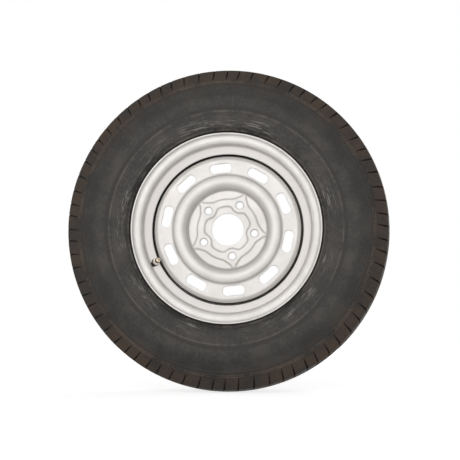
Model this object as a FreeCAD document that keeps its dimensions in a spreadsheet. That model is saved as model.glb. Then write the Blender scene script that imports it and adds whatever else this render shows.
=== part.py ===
import FreeCAD, Part
import math
import os
import re

import Sketcher

# A caravan road wheel: a radial tyre on a pressed and rolled steel wheel, with a clamp-in tyre valve.
# The wheel turns about Y, its centre plane is XZ, its outer face looks along -Y and +Z is up.

# Driving sizes in millimetres and degrees. "Out" means towards the outer face, from the centre plane.
SIZES = [
    # rim, a rolled strip of one gauge, measured on the tyre's side
    ("rim_gauge", 3.0, "thickness of the rolled strip"),
    ("rim_half", 69.85, "half the width between the flanges"),
    ("seat_r", 177.4, "radius of the bead seat at the flange"),
    ("seat_wide", 20.5, "width of each bead seat"),
    ("seat_slope", 0.0875, "fall of the bead seat for each millimetre of width"),
    ("flange_rise", 17.3, "height of the flange over the bead seat"),
    ("curl_r", 9.5, "radius of the flange curl, which one slanted run follows"),
    ("lip_reach", 3.2, "straight lip past the flange curl"),
    ("well_deep", 19.0, "depth of the well under the bead seat at the flange"),
    ("wall_foot", 38.0, "how far out the steep wall meets the well"),
    ("well_back", 8.0, "how far in the well ends"),
    # disc, a pressed sheet
    ("disc_gauge", 4.5, "thickness of the pressed sheet"),
    ("disc_fit", 0.1, "clearance between the disc's edge and the well"),
    ("inset", 30.0, "how far out the mounting face lies"),
    ("bore_r", 33.25, "radius of the centre bore"),
    ("hub_r", 84.0, "radius of the flat mounting face behind the hub"),
    ("dome_in_r", 94.0, "radius of the dome's inner shoulder"),
    ("dome_out_r", 105.0, "radius of the dome's outer shoulder"),
    ("dome_foot_r", 113.0, "radius where the dome meets the vent ring"),
    ("dome_rise", 23.0, "height of the dome over the mounting face"),
    ("dome_in_round", 7.0, "rounding of the dome's inner shoulder"),
    ("dome_out_round", 11.0, "rounding of the dome's outer shoulder"),
    ("vent_rise", 13.0, "height of the vent ring over the mounting face"),
    ("edge_bend", 9.0, "radius of the bend at the disc's edge, which one slanted run follows"),
    ("edge_end", 10.0, "how far out the disc's edge ends"),
    ("vent_count", 10, "number of vent slots"),
    ("vent_turn", 24.0, "angle of the first vent slot"),
    ("vent_in", 4.5, "land between the dome's foot and the vent slots"),
    ("vent_out", 9.0, "land between the vent slots and the bend at the disc's edge"),
    ("vent_long", 45.0, "length of a vent slot"),
    ("vent_round", 0.425, "corner radius of a vent slot as a share of its width"),
    ("stud_count", 5, "number of stud holes"),
    ("stud_turn", 63.5, "angle of the first stud hole"),
    ("stud_ring_r", 56.0, "radius of the stud circle"),
    ("stud_hole_r", 7.0, "radius of a stud hole"),
    ("cone_deep", 3.0, "depth of the coned seat"),
    ("cone_side", 30.0, "slope of the coned seat from the hole's axis"),
    ("band_rise", 3.0, "height of the stud band over the hub face"),
    ("band_in_r", 47.5, "inner radius of the stud band"),
    ("band_out_r", 64.0, "outer radius of the stud band"),
    ("band_draft", 30.0, "slope of the stud band's sides"),
    ("lobe_r", 18.0, "radius of the lobe round a stud hole"),
    ("tip_r", 82.0, "radius that the band's points reach"),
    ("tip_half", 17.0, "half the width of a point at the band"),
    ("band_wall", 4.0, "how much smaller the hollow behind the band is"),
    # weld runs between disc and rim
    ("weld_count", 5, "number of weld runs"),
    ("weld_turn", 42.0, "angle that a weld run covers"),
    ("weld_leg", 4.0, "leg of the weld's section"),
    ("weld_gap", 0.05, "clearance between a weld run and the rim"),
    # tyre
    ("tyre_r", 333.0, "outer radius of the tyre"),
    ("tread_half", 74.0, "half the width of the tread"),
    ("crown_drop", 7.0, "fall of the crown at the edge of the tread"),
    ("buttress_r", 298.0, "radius where the shoulder ends"),
    ("tyre_half", 99.0, "half the section width"),
    ("buttress_back", 12.5, "how far the sidewall stands out past the end of the shoulder"),
    ("side_flat", 30.0, "distance between the upper and the lower turn of the sidewall"),
    ("side_up", 2.5, "how far the turns' middle lies over the middle between foot and shoulder"),
    ("side_round", 50.0, "rounding of the sidewall's turns"),
    ("foot_r", 203.0, "radius of the sidewall's foot over the flange"),
    ("foot_back", 9.5, "how far the sidewall stands out past its foot"),
    ("foot_in", 1.5, "how far short of the lip the tyre meets the flange"),
    ("bead_wide", 17.0, "width of the bead"),
    ("bead_gap", 0.3, "clearance between tyre and rim"),
    ("side_thick", 9.0, "thickness of the sidewall"),
    ("cavity_r", 255.0, "radius where the air space is widest"),
    ("tread_thick", 15.0, "thickness under the crown"),
    ("cavity_half", 60.0, "half the width of the air space under the tread"),
    ("groove_wide", 9.0, "width of a tread groove"),
    ("groove_deep", 8.0, "depth of a tread groove"),
    ("groove_out", 34.0, "how far the side grooves lie from the middle"),
    ("notch_wide", 5.0, "width of a shoulder notch at the tread's edge"),
    ("notch_in", 18.0, "how far a notch reaches in from the tread's edge"),
    ("notch_foot_r", 303.0, "radius where a notch runs out"),
    ("notch_slant", 9.0, "slant of the notches on the shoulder, in degrees"),
    ("notch_pitch", 5.0, "middle pitch of the notches, in degrees"),
    ("notch_change", 0.7, "how much the short and long pitches differ from the middle one"),
    # valve, measured along its own axis from the outer side of the rim's steep wall
    ("valve_turn", 204.5, "angle of the valve round the wheel"),
    ("valve_rise", 8.1, "height over the well where the valve passes the steep wall"),
    ("valve_hole_r", 5.75, "radius of the hole in the rim"),
    ("stem_r", 4.1, "radius of the stem"),
    ("stem_long", 22.0, "length of the stem over the wall"),
    ("stem_foot_r", 7.0, "radius of the stem's foot"),
    ("stem_foot_thick", 2.5, "thickness of the stem's foot"),
    ("thread_r", 3.85, "radius of the thread for the cap"),
    ("thread_long", 8.0, "length of the thread for the cap"),
    ("air_r", 1.7, "radius of the air passage"),
    ("chamber_r", 2.7, "radius of the core's chamber"),
    ("chamber_deep", 22.0, "depth of the core's chamber"),
    ("grommet_r", 7.0, "radius of the grommet's collar inside the rim"),
    ("grommet_collar", 2.2, "thickness of the grommet's collar inside the rim"),
    ("boss_r", 7.8, "radius of the grommet's boss at the outer side of the wall"),
    ("boss_tall", 6.0, "height of the grommet's boss"),
    ("grommet_gap", 0.15, "clearance between the grommet and the rim's curved wall"),
    ("washer_r", 6.6, "radius of the washer"),
    ("washer_thick", 1.2, "thickness of the washer"),
    ("nut_flats", 12.0, "width of the nut across its flats"),
    ("nut_tall", 6.0, "height of the nut"),
    ("nut_gap", 0.05, "clearance between nut, washer and stem"),
    ("core_gap", 0.05, "clearance between core and chamber"),
    ("core_long", 17.0, "length of the core's barrel"),
    ("core_down", 1.0, "how far the core lies below the stem's end"),
    ("core_bore_r", 1.75, "bore of the core's barrel"),
    ("core_floor", 2.5, "thickness of the barrel's floor"),
    ("core_hole_r", 0.95, "radius of the hole in the barrel's floor"),
    ("core_neck_r", 2.2, "radius of the barrel under its gasket"),
    ("gasket_low", 1.0, "height of the gasket over the barrel's foot"),
    ("gasket_tall", 3.0, "height of the gasket"),
    ("pin_r", 0.6, "radius of the core pin"),
    ("pin_down", 0.5, "how far the pin's tip lies below the stem's end"),
    ("collar_r", 1.65, "radius of the pin's spring collar"),
    ("collar_tall", 1.0, "height of the pin's spring collar"),
    ("collar_down", 4.0, "how far the collar lies below the stem's end"),
    ("cup_r", 2.0, "radius of the pin's cup and of its seal"),
    ("cup_tall", 1.2, "height of the pin's cup"),
    ("seal_tall", 0.6, "thickness of the core seal"),
    ("seal_gap", 0.05, "clearance round the seal and at its seat"),
    ("spring_wire", 0.35, "side of the spring's square wire"),
    ("spring_r", 1.25, "radius of the spring at the middle of its wire"),
    ("spring_turns", 4.0, "number of turns of the spring"),
    ("spring_gap", 0.05, "clearance at each end of the spring"),
]

# One run of the tread's pitches, short, middle and long, repeated round the tyre.
PITCHES = "SMMLMSMLLMSM"

# How far from a square corner a run at 45 degrees touches both sides of it, as a share of the bend's radius.
SLANT = "(1 - tan(22.5 deg))"

# Places that several pieces share.
WELL_R = "(seat_r - well_deep)"
DISC_EDGE_R = f"({WELL_R} - rim_gauge - disc_fit - disc_gauge)"
BEND_START_R = f"({DISC_EDGE_R} - edge_bend * {SLANT})"
BUTTRESS_HALF = "(tyre_half - buttress_back)"

doc = FreeCAD.newDocument("CaravanWheel")


def fill_sheet(rows):
    """Write each size to the sheet as a plain number beside its name and meaning."""
    made = doc.addObject("Spreadsheet::Sheet", "Sizes")
    for row, (alias, value, meaning) in enumerate(rows, start=1):
        made.set(f"A{row}", alias)
        made.set(f"B{row}", str(value))
        made.set(f"C{row}", meaning)
        made.setAlias(f"B{row}", alias)
    doc.recompute()
    return made


sheet = fill_sheet(SIZES)


def sized(words):
    """An expression in which each plain name, apart from functions and the degree, is a cell of the sheet."""
    return re.sub(r"\b(?!deg\b)[a-z]\w*\b(?!\()", lambda found: "Sizes." + found.group(), words)


def size(words):
    """The value of an expression on the sheet's names."""
    return float(sheet.evalExpression(sized(words)))


def bind(sketch, constraint, words):
    """Add a constraint to a sketch and tie its value to the sheet."""
    index = sketch.addConstraint(constraint)
    sketch.setExpression(f"Constraints[{index}]", sized(words))


def rounding(before, here, after, radius):
    """The arc of a radius that is tangent to both runs of a corner."""
    back = (before - here).normalize()
    onward = (after - here).normalize()
    half = back.getAngle(onward) / 2
    middle = (back + onward).normalize()
    reach = radius / math.tan(half)
    tip = here + middle * (radius / math.sin(half) - radius)
    return Part.Arc(here + back * reach, tip, here + onward * reach)


def outline(sketch, corners, closed=True):
    """Draw straight runs through corners (x, y, rounding) tied to the sheet; None keeps a corner sharp."""
    points = []
    for across, along, _ in corners:
        point = sketch.addGeometry(Part.Point(FreeCAD.Vector(1, 1, 0)), True)
        bind(sketch, Sketcher.Constraint("DistanceX", point, 1, 1.0), across)
        bind(sketch, Sketcher.Constraint("DistanceY", point, 1, 1.0), along)
        points.append(point)
    doc.recompute()
    places = [sketch.getPoint(point, 1) for point in points]
    count = len(places)
    arcs = {}
    for i, (_, _, radius) in enumerate(corners):
        if radius:
            arcs[i] = rounding(places[i - 1], places[i], places[(i + 1) % count], size(radius))
    runs = []
    for i in range(count if closed else count - 1):
        follows = (i + 1) % count
        start = arcs[i].EndPoint if i in arcs else places[i]
        finish = arcs[follows].StartPoint if follows in arcs else places[follows]
        runs.append(sketch.addGeometry(Part.LineSegment(start, finish)))
    for i in range(count):
        run_in = runs[i - 1] if closed or i > 0 else None
        run_out = runs[i] if closed or i < count - 1 else None
        if i in arcs:
            tie_rounding(sketch, arcs[i], run_in, run_out, points[i], corners[i][2])
            continue
        for run, end in ((run_in, 2), (run_out, 1)):
            if run is not None:
                sketch.addConstraint(Sketcher.Constraint("Coincident", run, end, points[i], 1))


def tie_rounding(sketch, arc, run_in, run_out, point, radius):
    """Join a corner's arc to its two runs, whose lines meet at the corner's point."""
    added = sketch.addGeometry(arc)
    starts_first = sketch.getPoint(added, 1).isEqual(arc.StartPoint, 1e-6)
    first, last = (1, 2) if starts_first else (2, 1)
    sketch.addConstraint(Sketcher.Constraint("Tangent", run_in, 2, added, first))
    sketch.addConstraint(Sketcher.Constraint("Tangent", added, last, run_out, 1))
    sketch.addConstraint(Sketcher.Constraint("PointOnObject", point, 1, run_in))
    sketch.addConstraint(Sketcher.Constraint("PointOnObject", point, 1, run_out))
    bind(sketch, Sketcher.Constraint("Radius", added, size(radius)), radius)


def circle(sketch, across, along, radius):
    """Draw a circle whose centre and radius are tied to the sheet."""
    added = sketch.addGeometry(Part.Circle(FreeCAD.Vector(1, 1, 0), FreeCAD.Vector(0, 0, 1), 1))
    bind(sketch, Sketcher.Constraint("DistanceX", added, 3, 1.0), across)
    bind(sketch, Sketcher.Constraint("DistanceY", added, 3, 1.0), along)
    bind(sketch, Sketcher.Constraint("Radius", added, 1.0), radius)


def new_body(label, base=None):
    """A body for one sub-part, empty or starting from another object's solid."""
    body = doc.addObject("PartDesign::Body", label)
    body.Label = label
    if base:
        body.BaseFeature = base
    return body


def origin_part(body, role):
    """An origin plane or axis of a body."""
    return next(part for part in body.Origin.OriginFeatures if part.Role == role)


def new_sketch(body, name, role, turn=None, lift=None):
    """A sketch on an origin plane of a body, turned about the plane's normal and lifted along it."""
    sketch = body.newObject("Sketcher::SketchObject", name)
    sketch.AttachmentSupport = [(origin_part(body, role), "")]
    sketch.MapMode = "FlatFace"
    if turn:
        sketch.setExpression("AttachmentOffset.Rotation.Angle", sized(turn))
    if lift:
        sketch.setExpression("AttachmentOffset.Base.z", sized(lift))
    return sketch


def revolve(body, sketch, name, kind="PartDesign::Revolution"):
    """Turn a section once round its sketch's upright axis, to add or to cut."""
    turned = body.newObject(kind, name)
    turned.Profile = sketch
    turned.ReferenceAxis = (sketch, ["V_Axis"])
    turned.Angle = 360
    doc.recompute()
    return turned


def pattern(body, features, name, count):
    """Repeat features evenly round the wheel's axle."""
    repeated = body.newObject("PartDesign::PolarPattern", name)
    repeated.Originals = features
    repeated.Axis = (origin_part(body, "Y_Axis"), [""])
    repeated.Angle = 360
    repeated.setExpression("Occurrences", sized(count))
    body.Tip = repeated
    doc.recompute()
    return repeated


def rolled_ring(name, corners, gauge):
    """A strip on one side of a path of corners, by the gauge's sign, turned round the axle."""
    path = doc.addObject("Sketcher::SketchObject", name + "_path")
    outline(path, corners, closed=False)
    strip = doc.addObject("Part::Offset2D", name + "_strip")
    strip.Source = path
    strip.setExpression("Value", sized(gauge))
    strip.Mode = "Skin"
    strip.Join = "Intersection"
    strip.Fill = True
    ring = doc.addObject("Part::Revolution", name + "_ring")
    ring.Source = strip
    ring.Axis = (0, 1, 0)
    ring.Angle = 360
    ring.Solid = True
    doc.recompute()
    return ring


def wheel_turn(angle):
    """The rotation about the axle that takes +X to an angle counted from +X towards +Z."""
    return FreeCAD.Rotation(FreeCAD.Vector(0, 1, 0), -angle)


def valve_placement():
    """The valve's own frame: its axis is square to the steep wall and leaves its outer side."""
    rise = size("well_deep - seat_wide * seat_slope")
    run = size("rim_half - seat_wide - wall_foot")
    lean = math.degrees(math.atan2(run, rise))
    wall_r = size(f"{WELL_R} + valve_rise")
    wall_out = size("wall_foot") + size("valve_rise") * run / rise
    axis = FreeCAD.Vector(-math.sin(math.radians(lean)), -math.cos(math.radians(lean)), 0)
    place = FreeCAD.Vector(wall_r, -wall_out, 0) + axis * size("rim_gauge")
    upright = FreeCAD.Rotation(FreeCAD.Vector(0, 0, 1), axis)
    turn = wheel_turn(size("valve_turn"))
    return FreeCAD.Placement(turn.multVec(place), turn.multiply(upright))


def make_rim():
    """The rolled barrel from lip to lip: curl, flange, seat, steep wall, well and ramp, with a valve hole."""
    lip_r = "seat_r + flange_rise"
    lip_end = "rim_half + curl_r + lip_reach"
    turn = f"curl_r * {SLANT}"
    seat_end = "seat_r - seat_wide * seat_slope"
    ring = rolled_ring(
        "rim",
        [
            (lip_r, f"-({lip_end})", None),
            (lip_r, f"-(rim_half + {turn})", None),
            (f"{lip_r} - {turn}", "-rim_half", None),
            ("seat_r", "-rim_half", None),
            (seat_end, "-(rim_half - seat_wide)", None),
            (WELL_R, "-wall_foot", None),
            (WELL_R, "well_back", None),
            (seat_end, "rim_half - seat_wide", None),
            ("seat_r", "rim_half", None),
            (f"{lip_r} - {turn}", "rim_half", None),
            (lip_r, f"rim_half + {turn}", None),
            (lip_r, lip_end, None),
        ],
        "-rim_gauge",
    )
    hole = doc.addObject("Part::Cylinder", "valve_hole")
    hole.setExpression("Radius", sized("valve_hole_r"))
    hole.setExpression("Height", sized("rim_gauge * 3"))
    down = FreeCAD.Vector(0, 0, -2 * size("rim_gauge"))
    hole.Placement = valve_placement().multiply(FreeCAD.Placement(down, FreeCAD.Rotation()))
    rim = doc.addObject("Part::Cut", "rim")
    rim.Base = ring
    rim.Tool = hole
    rim.Label = "rim"
    doc.recompute()
    return rim


def make_disc():
    """The pressed disc: dome, bent edge, vent slots and a raised band with a lobe at each stud hole."""
    crest = "-(inset + dome_rise)"
    vents = "inset + vent_rise"
    turn = f"edge_bend * {SLANT}"
    sheet_ring = rolled_ring(
        "disc",
        [
            ("bore_r", "-inset", None),
            ("hub_r", "-inset", None),
            ("dome_in_r", crest, "dome_in_round"),
            ("dome_out_r", crest, "dome_out_round"),
            ("dome_foot_r", f"-({vents})", None),
            (BEND_START_R, f"-({vents})", None),
            (DISC_EDGE_R, f"-({vents} - {turn})", None),
            (DISC_EDGE_R, "-edge_end", None),
        ],
        "disc_gauge",
    )
    disc = new_body("wheel_disc", sheet_ring)
    raise_stud_band(disc)
    hollow_stud_band(disc)
    drill_stud_holes(disc)
    cut_vents(disc)
    return disc


def pad(body, sketch, name, length, draft=None):
    """Raise a sketch outwards, with sloping sides."""
    raised = body.newObject("PartDesign::Pad", name)
    raised.Profile = sketch
    raised.setExpression("Length", sized(length))
    if draft:
        raised.setExpression("TaperAngle", sized(draft))
    doc.recompute()
    return raised


def pocket(body, sketch, name, length, reverse=False, draft=None):
    """Sink a sketch into a body."""
    sunk = body.newObject("PartDesign::Pocket", name)
    sunk.Profile = sketch
    sunk.setExpression("Length", sized(length))
    sunk.Reversed = reverse
    if draft:
        sunk.setExpression("TaperAngle", sized(draft))
    doc.recompute()
    return sunk


def raise_stud_band(disc):
    """A ring, a lobe round each stud hole and a point from each lobe to the dome, raised from the hub."""
    floor = "inset + disc_gauge"
    ring = new_sketch(disc, "band_outline", "XZ_Plane", lift=floor)
    circle(ring, "0", "0", "band_in_r")
    circle(ring, "0", "0", "band_out_r")
    pad(disc, ring, "band", "band_rise", "-band_draft")
    lobe = new_sketch(disc, "lobe_outline", "XZ_Plane", "stud_turn", floor)
    circle(lobe, "stud_ring_r", "0", "lobe_r")
    lobe_pad = pad(disc, lobe, "lobe", "band_rise", "-band_draft")
    tip = new_sketch(disc, "tip_outline", "XZ_Plane", "stud_turn", floor)
    corners = [("stud_ring_r", "-tip_half", None), ("tip_r", "0", None), ("stud_ring_r", "tip_half", None)]
    outline(tip, corners)
    tip_pad = pad(disc, tip, "tip", "band_rise", "-band_draft")
    pattern(disc, [lobe_pad, tip_pad], "lobes_and_tips", "stud_count")


def hollow_stud_band(disc):
    """The hollow that the pressing leaves behind the band, open to the mounting face."""
    ring = new_sketch(disc, "hollow_outline", "XZ_Plane", lift="inset")
    circle(ring, "0", "0", "band_in_r + band_wall")
    circle(ring, "0", "0", "band_out_r - band_wall")
    pocket(disc, ring, "band_hollow", "band_rise", reverse=True)
    lobe = new_sketch(disc, "lobe_hollow_outline", "XZ_Plane", "stud_turn", "inset")
    circle(lobe, "stud_ring_r", "0", "lobe_r - band_wall")
    lobe_hollow = pocket(disc, lobe, "lobe_hollow", "band_rise", reverse=True)
    pattern(disc, [lobe_hollow], "lobe_hollows", "stud_count")


def drill_stud_holes(disc):
    """Stud holes through the lobes, each with a coned seat on the outer side."""
    top = "inset + disc_gauge + band_rise"
    hole = new_sketch(disc, "stud_hole_outline", "XZ_Plane", "stud_turn", top)
    circle(hole, "stud_ring_r", "0", "stud_hole_r")
    hole_cut = pocket(disc, hole, "stud_hole", "disc_gauge + band_rise")
    seat = new_sketch(disc, "stud_seat_outline", "XZ_Plane", "stud_turn", top)
    circle(seat, "stud_ring_r", "0", "stud_hole_r + cone_deep * tan(cone_side * 1 deg)")
    seat_cut = pocket(disc, seat, "stud_seat", "cone_deep", draft="-cone_side")
    pattern(disc, [hole_cut, seat_cut], "stud_holes", "stud_count")


def cut_vents(disc):
    """Vent slots with rounded corners through the flat ring outside the dome."""
    slot = new_sketch(disc, "vent_outline", "XZ_Plane", "vent_turn", "inset + vent_rise + disc_gauge * 2")
    low = "(dome_foot_r + vent_in)"
    high = f"({BEND_START_R} - vent_out)"
    end = "vent_long / 2"
    corner = f"({high} - {low}) * vent_round"
    outline(
        slot,
        [
            (low, f"-{end}", corner),
            (high, f"-{end}", corner),
            (high, end, corner),
            (low, end, corner),
        ],
    )
    cut = pocket(disc, slot, "vent", "disc_gauge * 3")
    pattern(disc, [cut], "vents", "vent_count")


def make_welds():
    """Runs of fillet weld in the corner between the disc's inner edge and the well."""
    section = doc.addObject("Sketcher::SketchObject", "weld_section")
    reach = f"{WELL_R} - rim_gauge - disc_fit - weld_gap"
    outline(
        section,
        [
            (reach, "-edge_end", None),
            (reach, "-edge_end + weld_leg", None),
            (f"{reach} - weld_leg", "-edge_end", None),
        ],
    )
    runs = []
    for index in range(int(size("weld_count"))):
        run = doc.addObject("Part::Revolution", f"weld_run_{index + 1}")
        run.Source = section
        run.Axis = (0, 1, 0)
        run.setExpression("Angle", sized("weld_turn"))
        run.Solid = True
        run.Placement = FreeCAD.Placement(FreeCAD.Vector(), wheel_turn(index * 360 / size("weld_count")))
        runs.append(run)
    welds = doc.addObject("Part::Compound", "disc_weld_beads")
    welds.Links = runs
    welds.Label = "disc_weld_beads"
    doc.recompute()
    return welds


def tyre_side(sign):
    """The corners of half the tyre's section, from the tread's edge round the bead to the air space."""
    flange_r = "seat_r + flange_rise + bead_gap"
    flange_face = "rim_half - bead_gap"
    turn = f"(curl_r + bead_gap) * {SLANT}"
    side_middle = "(foot_r + buttress_r) / 2 + side_up"
    corners = [
        ("tyre_r", "groove_out", None),
        ("tyre_r - crown_drop", "tread_half", None),
        ("buttress_r", BUTTRESS_HALF, None),
        (f"{side_middle} + side_flat / 2", "tyre_half", "side_round"),
        (f"{side_middle} - side_flat / 2", "tyre_half", "side_round"),
        ("foot_r", "tyre_half - foot_back", None),
        (flange_r, "rim_half + curl_r + lip_reach - foot_in", None),
        (flange_r, f"{flange_face} + {turn}", None),
        (f"{flange_r} - {turn}", flange_face, None),
        ("seat_r + bead_gap", flange_face, None),
        ("seat_r - bead_wide * seat_slope + bead_gap", "rim_half - bead_wide", None),
        ("cavity_r", "tyre_half - side_thick", None),
        ("tyre_r - tread_thick", "cavity_half", None),
    ]
    return [(radius, f"{sign}({out})", turn) for radius, out, turn in corners]


def make_tyre():
    """The moulded tyre: a hollow section turned round the axle, tread grooves and notched shoulders."""
    blank = new_body("tyre_blank")
    section = new_sketch(blank, "tyre_section", "XY_Plane")
    outline(section, tyre_side("-") + tyre_side("1 * ")[::-1])
    revolve(blank, section, "carcass")
    grooves = new_sketch(blank, "groove_section", "XY_Plane")
    for middle in ("-groove_out", "0", "groove_out"):
        near = f"{middle} - groove_wide / 2"
        far = f"{middle} + groove_wide / 2"
        floor = "tyre_r - groove_deep"
        above = "tyre_r + groove_deep"
        outline(grooves, [(floor, near, None), (above, near, None), (above, far, None), (floor, far, None)])
    revolve(blank, grooves, "tread_grooves", "PartDesign::Groove")
    notches = doc.addObject("Part::Feature", "shoulder_notches")
    notches.Shape = notch_ring()
    tyre = doc.addObject("Part::Cut", "tyre")
    tyre.Base = blank
    tyre.Tool = notches
    tyre.Label = "tyre"
    doc.recompute()
    return tyre


def notch_cutter():
    """A wedge whose sharp edge runs straight, with a slant, from the tread to the shoulder's foot."""
    slope = size("crown_drop / (tread_half - groove_out)")
    edge = FreeCAD.Vector(size("tyre_r - crown_drop"), -size("tread_half"), 0)
    inner = edge + FreeCAD.Vector(slope, 1, 0) * size("notch_in")
    share = (edge.x - size("notch_foot_r")) / (edge.x - size("buttress_r"))
    foot_out = size("tread_half") + size(f"{BUTTRESS_HALF} - tread_half") * share
    aside = (edge.x - size("notch_foot_r")) * math.tan(math.radians(size("notch_slant")))
    outer = FreeCAD.Vector(size("notch_foot_r"), -foot_out, aside)
    along = (outer - inner).normalize()
    depth_way = FreeCAD.Vector(-along.y, along.x, 0).normalize()
    depth = abs((edge - inner).dot(depth_way))
    if (edge - inner).dot(depth_way) < 0:
        depth_way = -depth_way
    reach = 2 * depth
    half = FreeCAD.Vector(0, 0, size("notch_wide") / 2 * reach / depth)
    start = inner - along * size("notch_in")
    corners = [start, start + depth_way * reach + half, start + depth_way * reach - half, start]
    length = (outer - inner).Length + 2 * size("notch_in")
    return Part.Face(Part.makePolygon(corners)).extrude(along * length)


def notch_ring():
    """Notch cutters round both shoulders, spaced by a repeated run of short, middle and long pitches."""
    steps = {
        "S": size("notch_pitch - notch_change"),
        "M": size("notch_pitch"),
        "L": size("notch_pitch + notch_change"),
    }
    outer_side = notch_cutter()
    inner_side = outer_side.copy()
    inner_side.rotate(FreeCAD.Vector(), FreeCAD.Vector(1, 0, 0), 180)
    cutters = []
    repeats = round(360 / sum(steps[pitch] for pitch in PITCHES))
    angle = 0.0
    for pitch in PITCHES * repeats:
        for side in (outer_side, inner_side):
            cutter = side.copy()
            cutter.rotate(FreeCAD.Vector(), FreeCAD.Vector(0, 1, 0), -angle)
            cutters.append(cutter)
        angle += steps[pitch]
    return Part.makeCompound(cutters)


def turned_piece(label, corners):
    """A piece of the valve that is turned round the valve's own axis."""
    body = new_body(label)
    section = new_sketch(body, label + "_section", "XZ_Plane")
    outline(section, [(radius, height, None) for radius, height in corners])
    revolve(body, section, label + "_turned")
    body.Placement = valve_placement()
    return body


def make_stem():
    """The turned stem: foot inside the rim, shank, cap thread, air passage and the core's chamber."""
    foot_top = "-(rim_gauge + grommet_collar)"
    foot = f"{foot_top} - stem_foot_thick"
    chamber = "stem_long - chamber_deep"
    return turned_piece(
        "valve_stem",
        [
            ("air_r", foot),
            ("stem_foot_r", foot),
            ("stem_foot_r", foot_top),
            ("stem_r", foot_top),
            ("stem_r", "stem_long - thread_long"),
            ("thread_r", "stem_long - thread_long"),
            ("thread_r", "stem_long"),
            ("chamber_r", "stem_long"),
            ("chamber_r", chamber),
            ("air_r", chamber),
        ],
    )


def make_grommet():
    """The rubber spool: a collar inside the wall, a neck through the valve hole and a boss outside."""
    inside = "stem_r + nut_gap"
    neck = "valve_hole_r - grommet_gap"
    return turned_piece(
        "valve_grommet",
        [
            (inside, "-(rim_gauge + grommet_collar)"),
            ("grommet_r", "-(rim_gauge + grommet_collar)"),
            ("grommet_r", "-(rim_gauge + grommet_gap)"),
            (neck, "-(rim_gauge + grommet_gap)"),
            (neck, "grommet_gap"),
            ("boss_r", "grommet_gap"),
            ("washer_r", "boss_tall"),
            (inside, "boss_tall"),
        ],
    )


def make_washer():
    """The plain washer on the grommet's boss."""
    bottom = "boss_tall"
    top = "boss_tall + washer_thick"
    inside = "stem_r + nut_gap"
    return turned_piece(
        "valve_washer",
        [(inside, bottom), ("washer_r", bottom), ("washer_r", top), (inside, top)],
    )


def make_nut():
    """The hexagon nut on the washer."""
    nut = new_body("valve_nut")
    blank = new_sketch(nut, "nut_outline", "XY_Plane", lift="boss_tall + washer_thick")
    corners = []
    for index in range(6):
        corner = "nut_flats / 2 / cos(30 deg)"
        corners.append((f"{corner} * cos({60 * index} deg)", f"{corner} * sin({60 * index} deg)", None))
    outline(blank, corners)
    circle(blank, "0", "0", "stem_r + nut_gap")
    pad(nut, blank, "nut_blank", "nut_tall")
    nut.Placement = valve_placement()
    return nut


CORE_FOOT = "(stem_long - core_down - core_long)"


def make_core_body():
    """The core's barrel: a floor with a hole, a neck for the gasket and a bore for the spring."""
    top = "stem_long - core_down"
    wide = "chamber_r - core_gap"
    neck_top = f"{CORE_FOOT} + gasket_low + gasket_tall"
    return turned_piece(
        "core_body",
        [
            ("core_hole_r", CORE_FOOT),
            ("core_neck_r", CORE_FOOT),
            ("core_neck_r", neck_top),
            (wide, neck_top),
            (wide, top),
            ("core_bore_r", top),
            ("core_bore_r", f"{CORE_FOOT} + core_floor"),
            ("core_hole_r", f"{CORE_FOOT} + core_floor"),
        ],
    )


def make_core_gasket():
    """The seal ring between the barrel's neck and the chamber."""
    bottom = f"{CORE_FOOT} + gasket_low"
    top = f"{bottom} + gasket_tall"
    inside = "core_neck_r + core_gap"
    outside = "chamber_r - core_gap"
    return turned_piece("core_gasket", [(inside, bottom), (outside, bottom), (outside, top), (inside, top)])


def make_core_pin():
    """The pin: a tip, a collar that the spring pushes up and a cup under the barrel's floor."""
    cup_top = f"{CORE_FOOT} - seal_gap - seal_tall - seal_gap"
    cup = f"{cup_top} - cup_tall"
    collar_top = "stem_long - collar_down"
    collar = f"{collar_top} - collar_tall"
    return turned_piece(
        "core_pin",
        [
            ("0", cup),
            ("cup_r", cup),
            ("cup_r", cup_top),
            ("pin_r", cup_top),
            ("pin_r", collar),
            ("collar_r", collar),
            ("collar_r", collar_top),
            ("pin_r", collar_top),
            ("pin_r", "stem_long - pin_down"),
            ("0", "stem_long - pin_down"),
        ],
    )


def make_core_seal():
    """The rubber ring on the cup that closes the hole in the barrel's floor."""
    top = f"{CORE_FOOT} - seal_gap"
    bottom = f"{top} - seal_tall"
    inside = "pin_r + seal_gap"
    return turned_piece("core_seal", [(inside, bottom), ("cup_r", bottom), ("cup_r", top), (inside, top)])


def make_core_spring():
    """The coil between the barrel's floor and the pin's collar."""
    bottom = f"{CORE_FOOT} + core_floor + spring_gap"
    top = "stem_long - collar_down - collar_tall - spring_gap"
    spring = new_body("core_spring")
    wire = new_sketch(spring, "spring_wire_section", "XZ_Plane")
    near = "spring_r - spring_wire / 2"
    far = "spring_r + spring_wire / 2"
    outline(
        wire,
        [
            (near, bottom, None),
            (far, bottom, None),
            (far, f"{bottom} + spring_wire", None),
            (near, f"{bottom} + spring_wire", None),
        ],
    )
    coil = spring.newObject("PartDesign::AdditiveHelix", "coil")
    coil.Profile = wire
    coil.ReferenceAxis = (wire, ["V_Axis"])
    coil.Mode = "height-turns-angle"
    coil.setExpression("Height", sized(f"{top} - spring_wire - ({bottom})"))
    coil.setExpression("Turns", sized("spring_turns"))
    spring.Placement = valve_placement()
    doc.recompute()
    return spring


def sound(shape):
    """Whether a sub-part has a valid solid."""
    return not shape.isNull() and shape.isValid() and len(shape.Solids) > 0


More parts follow.
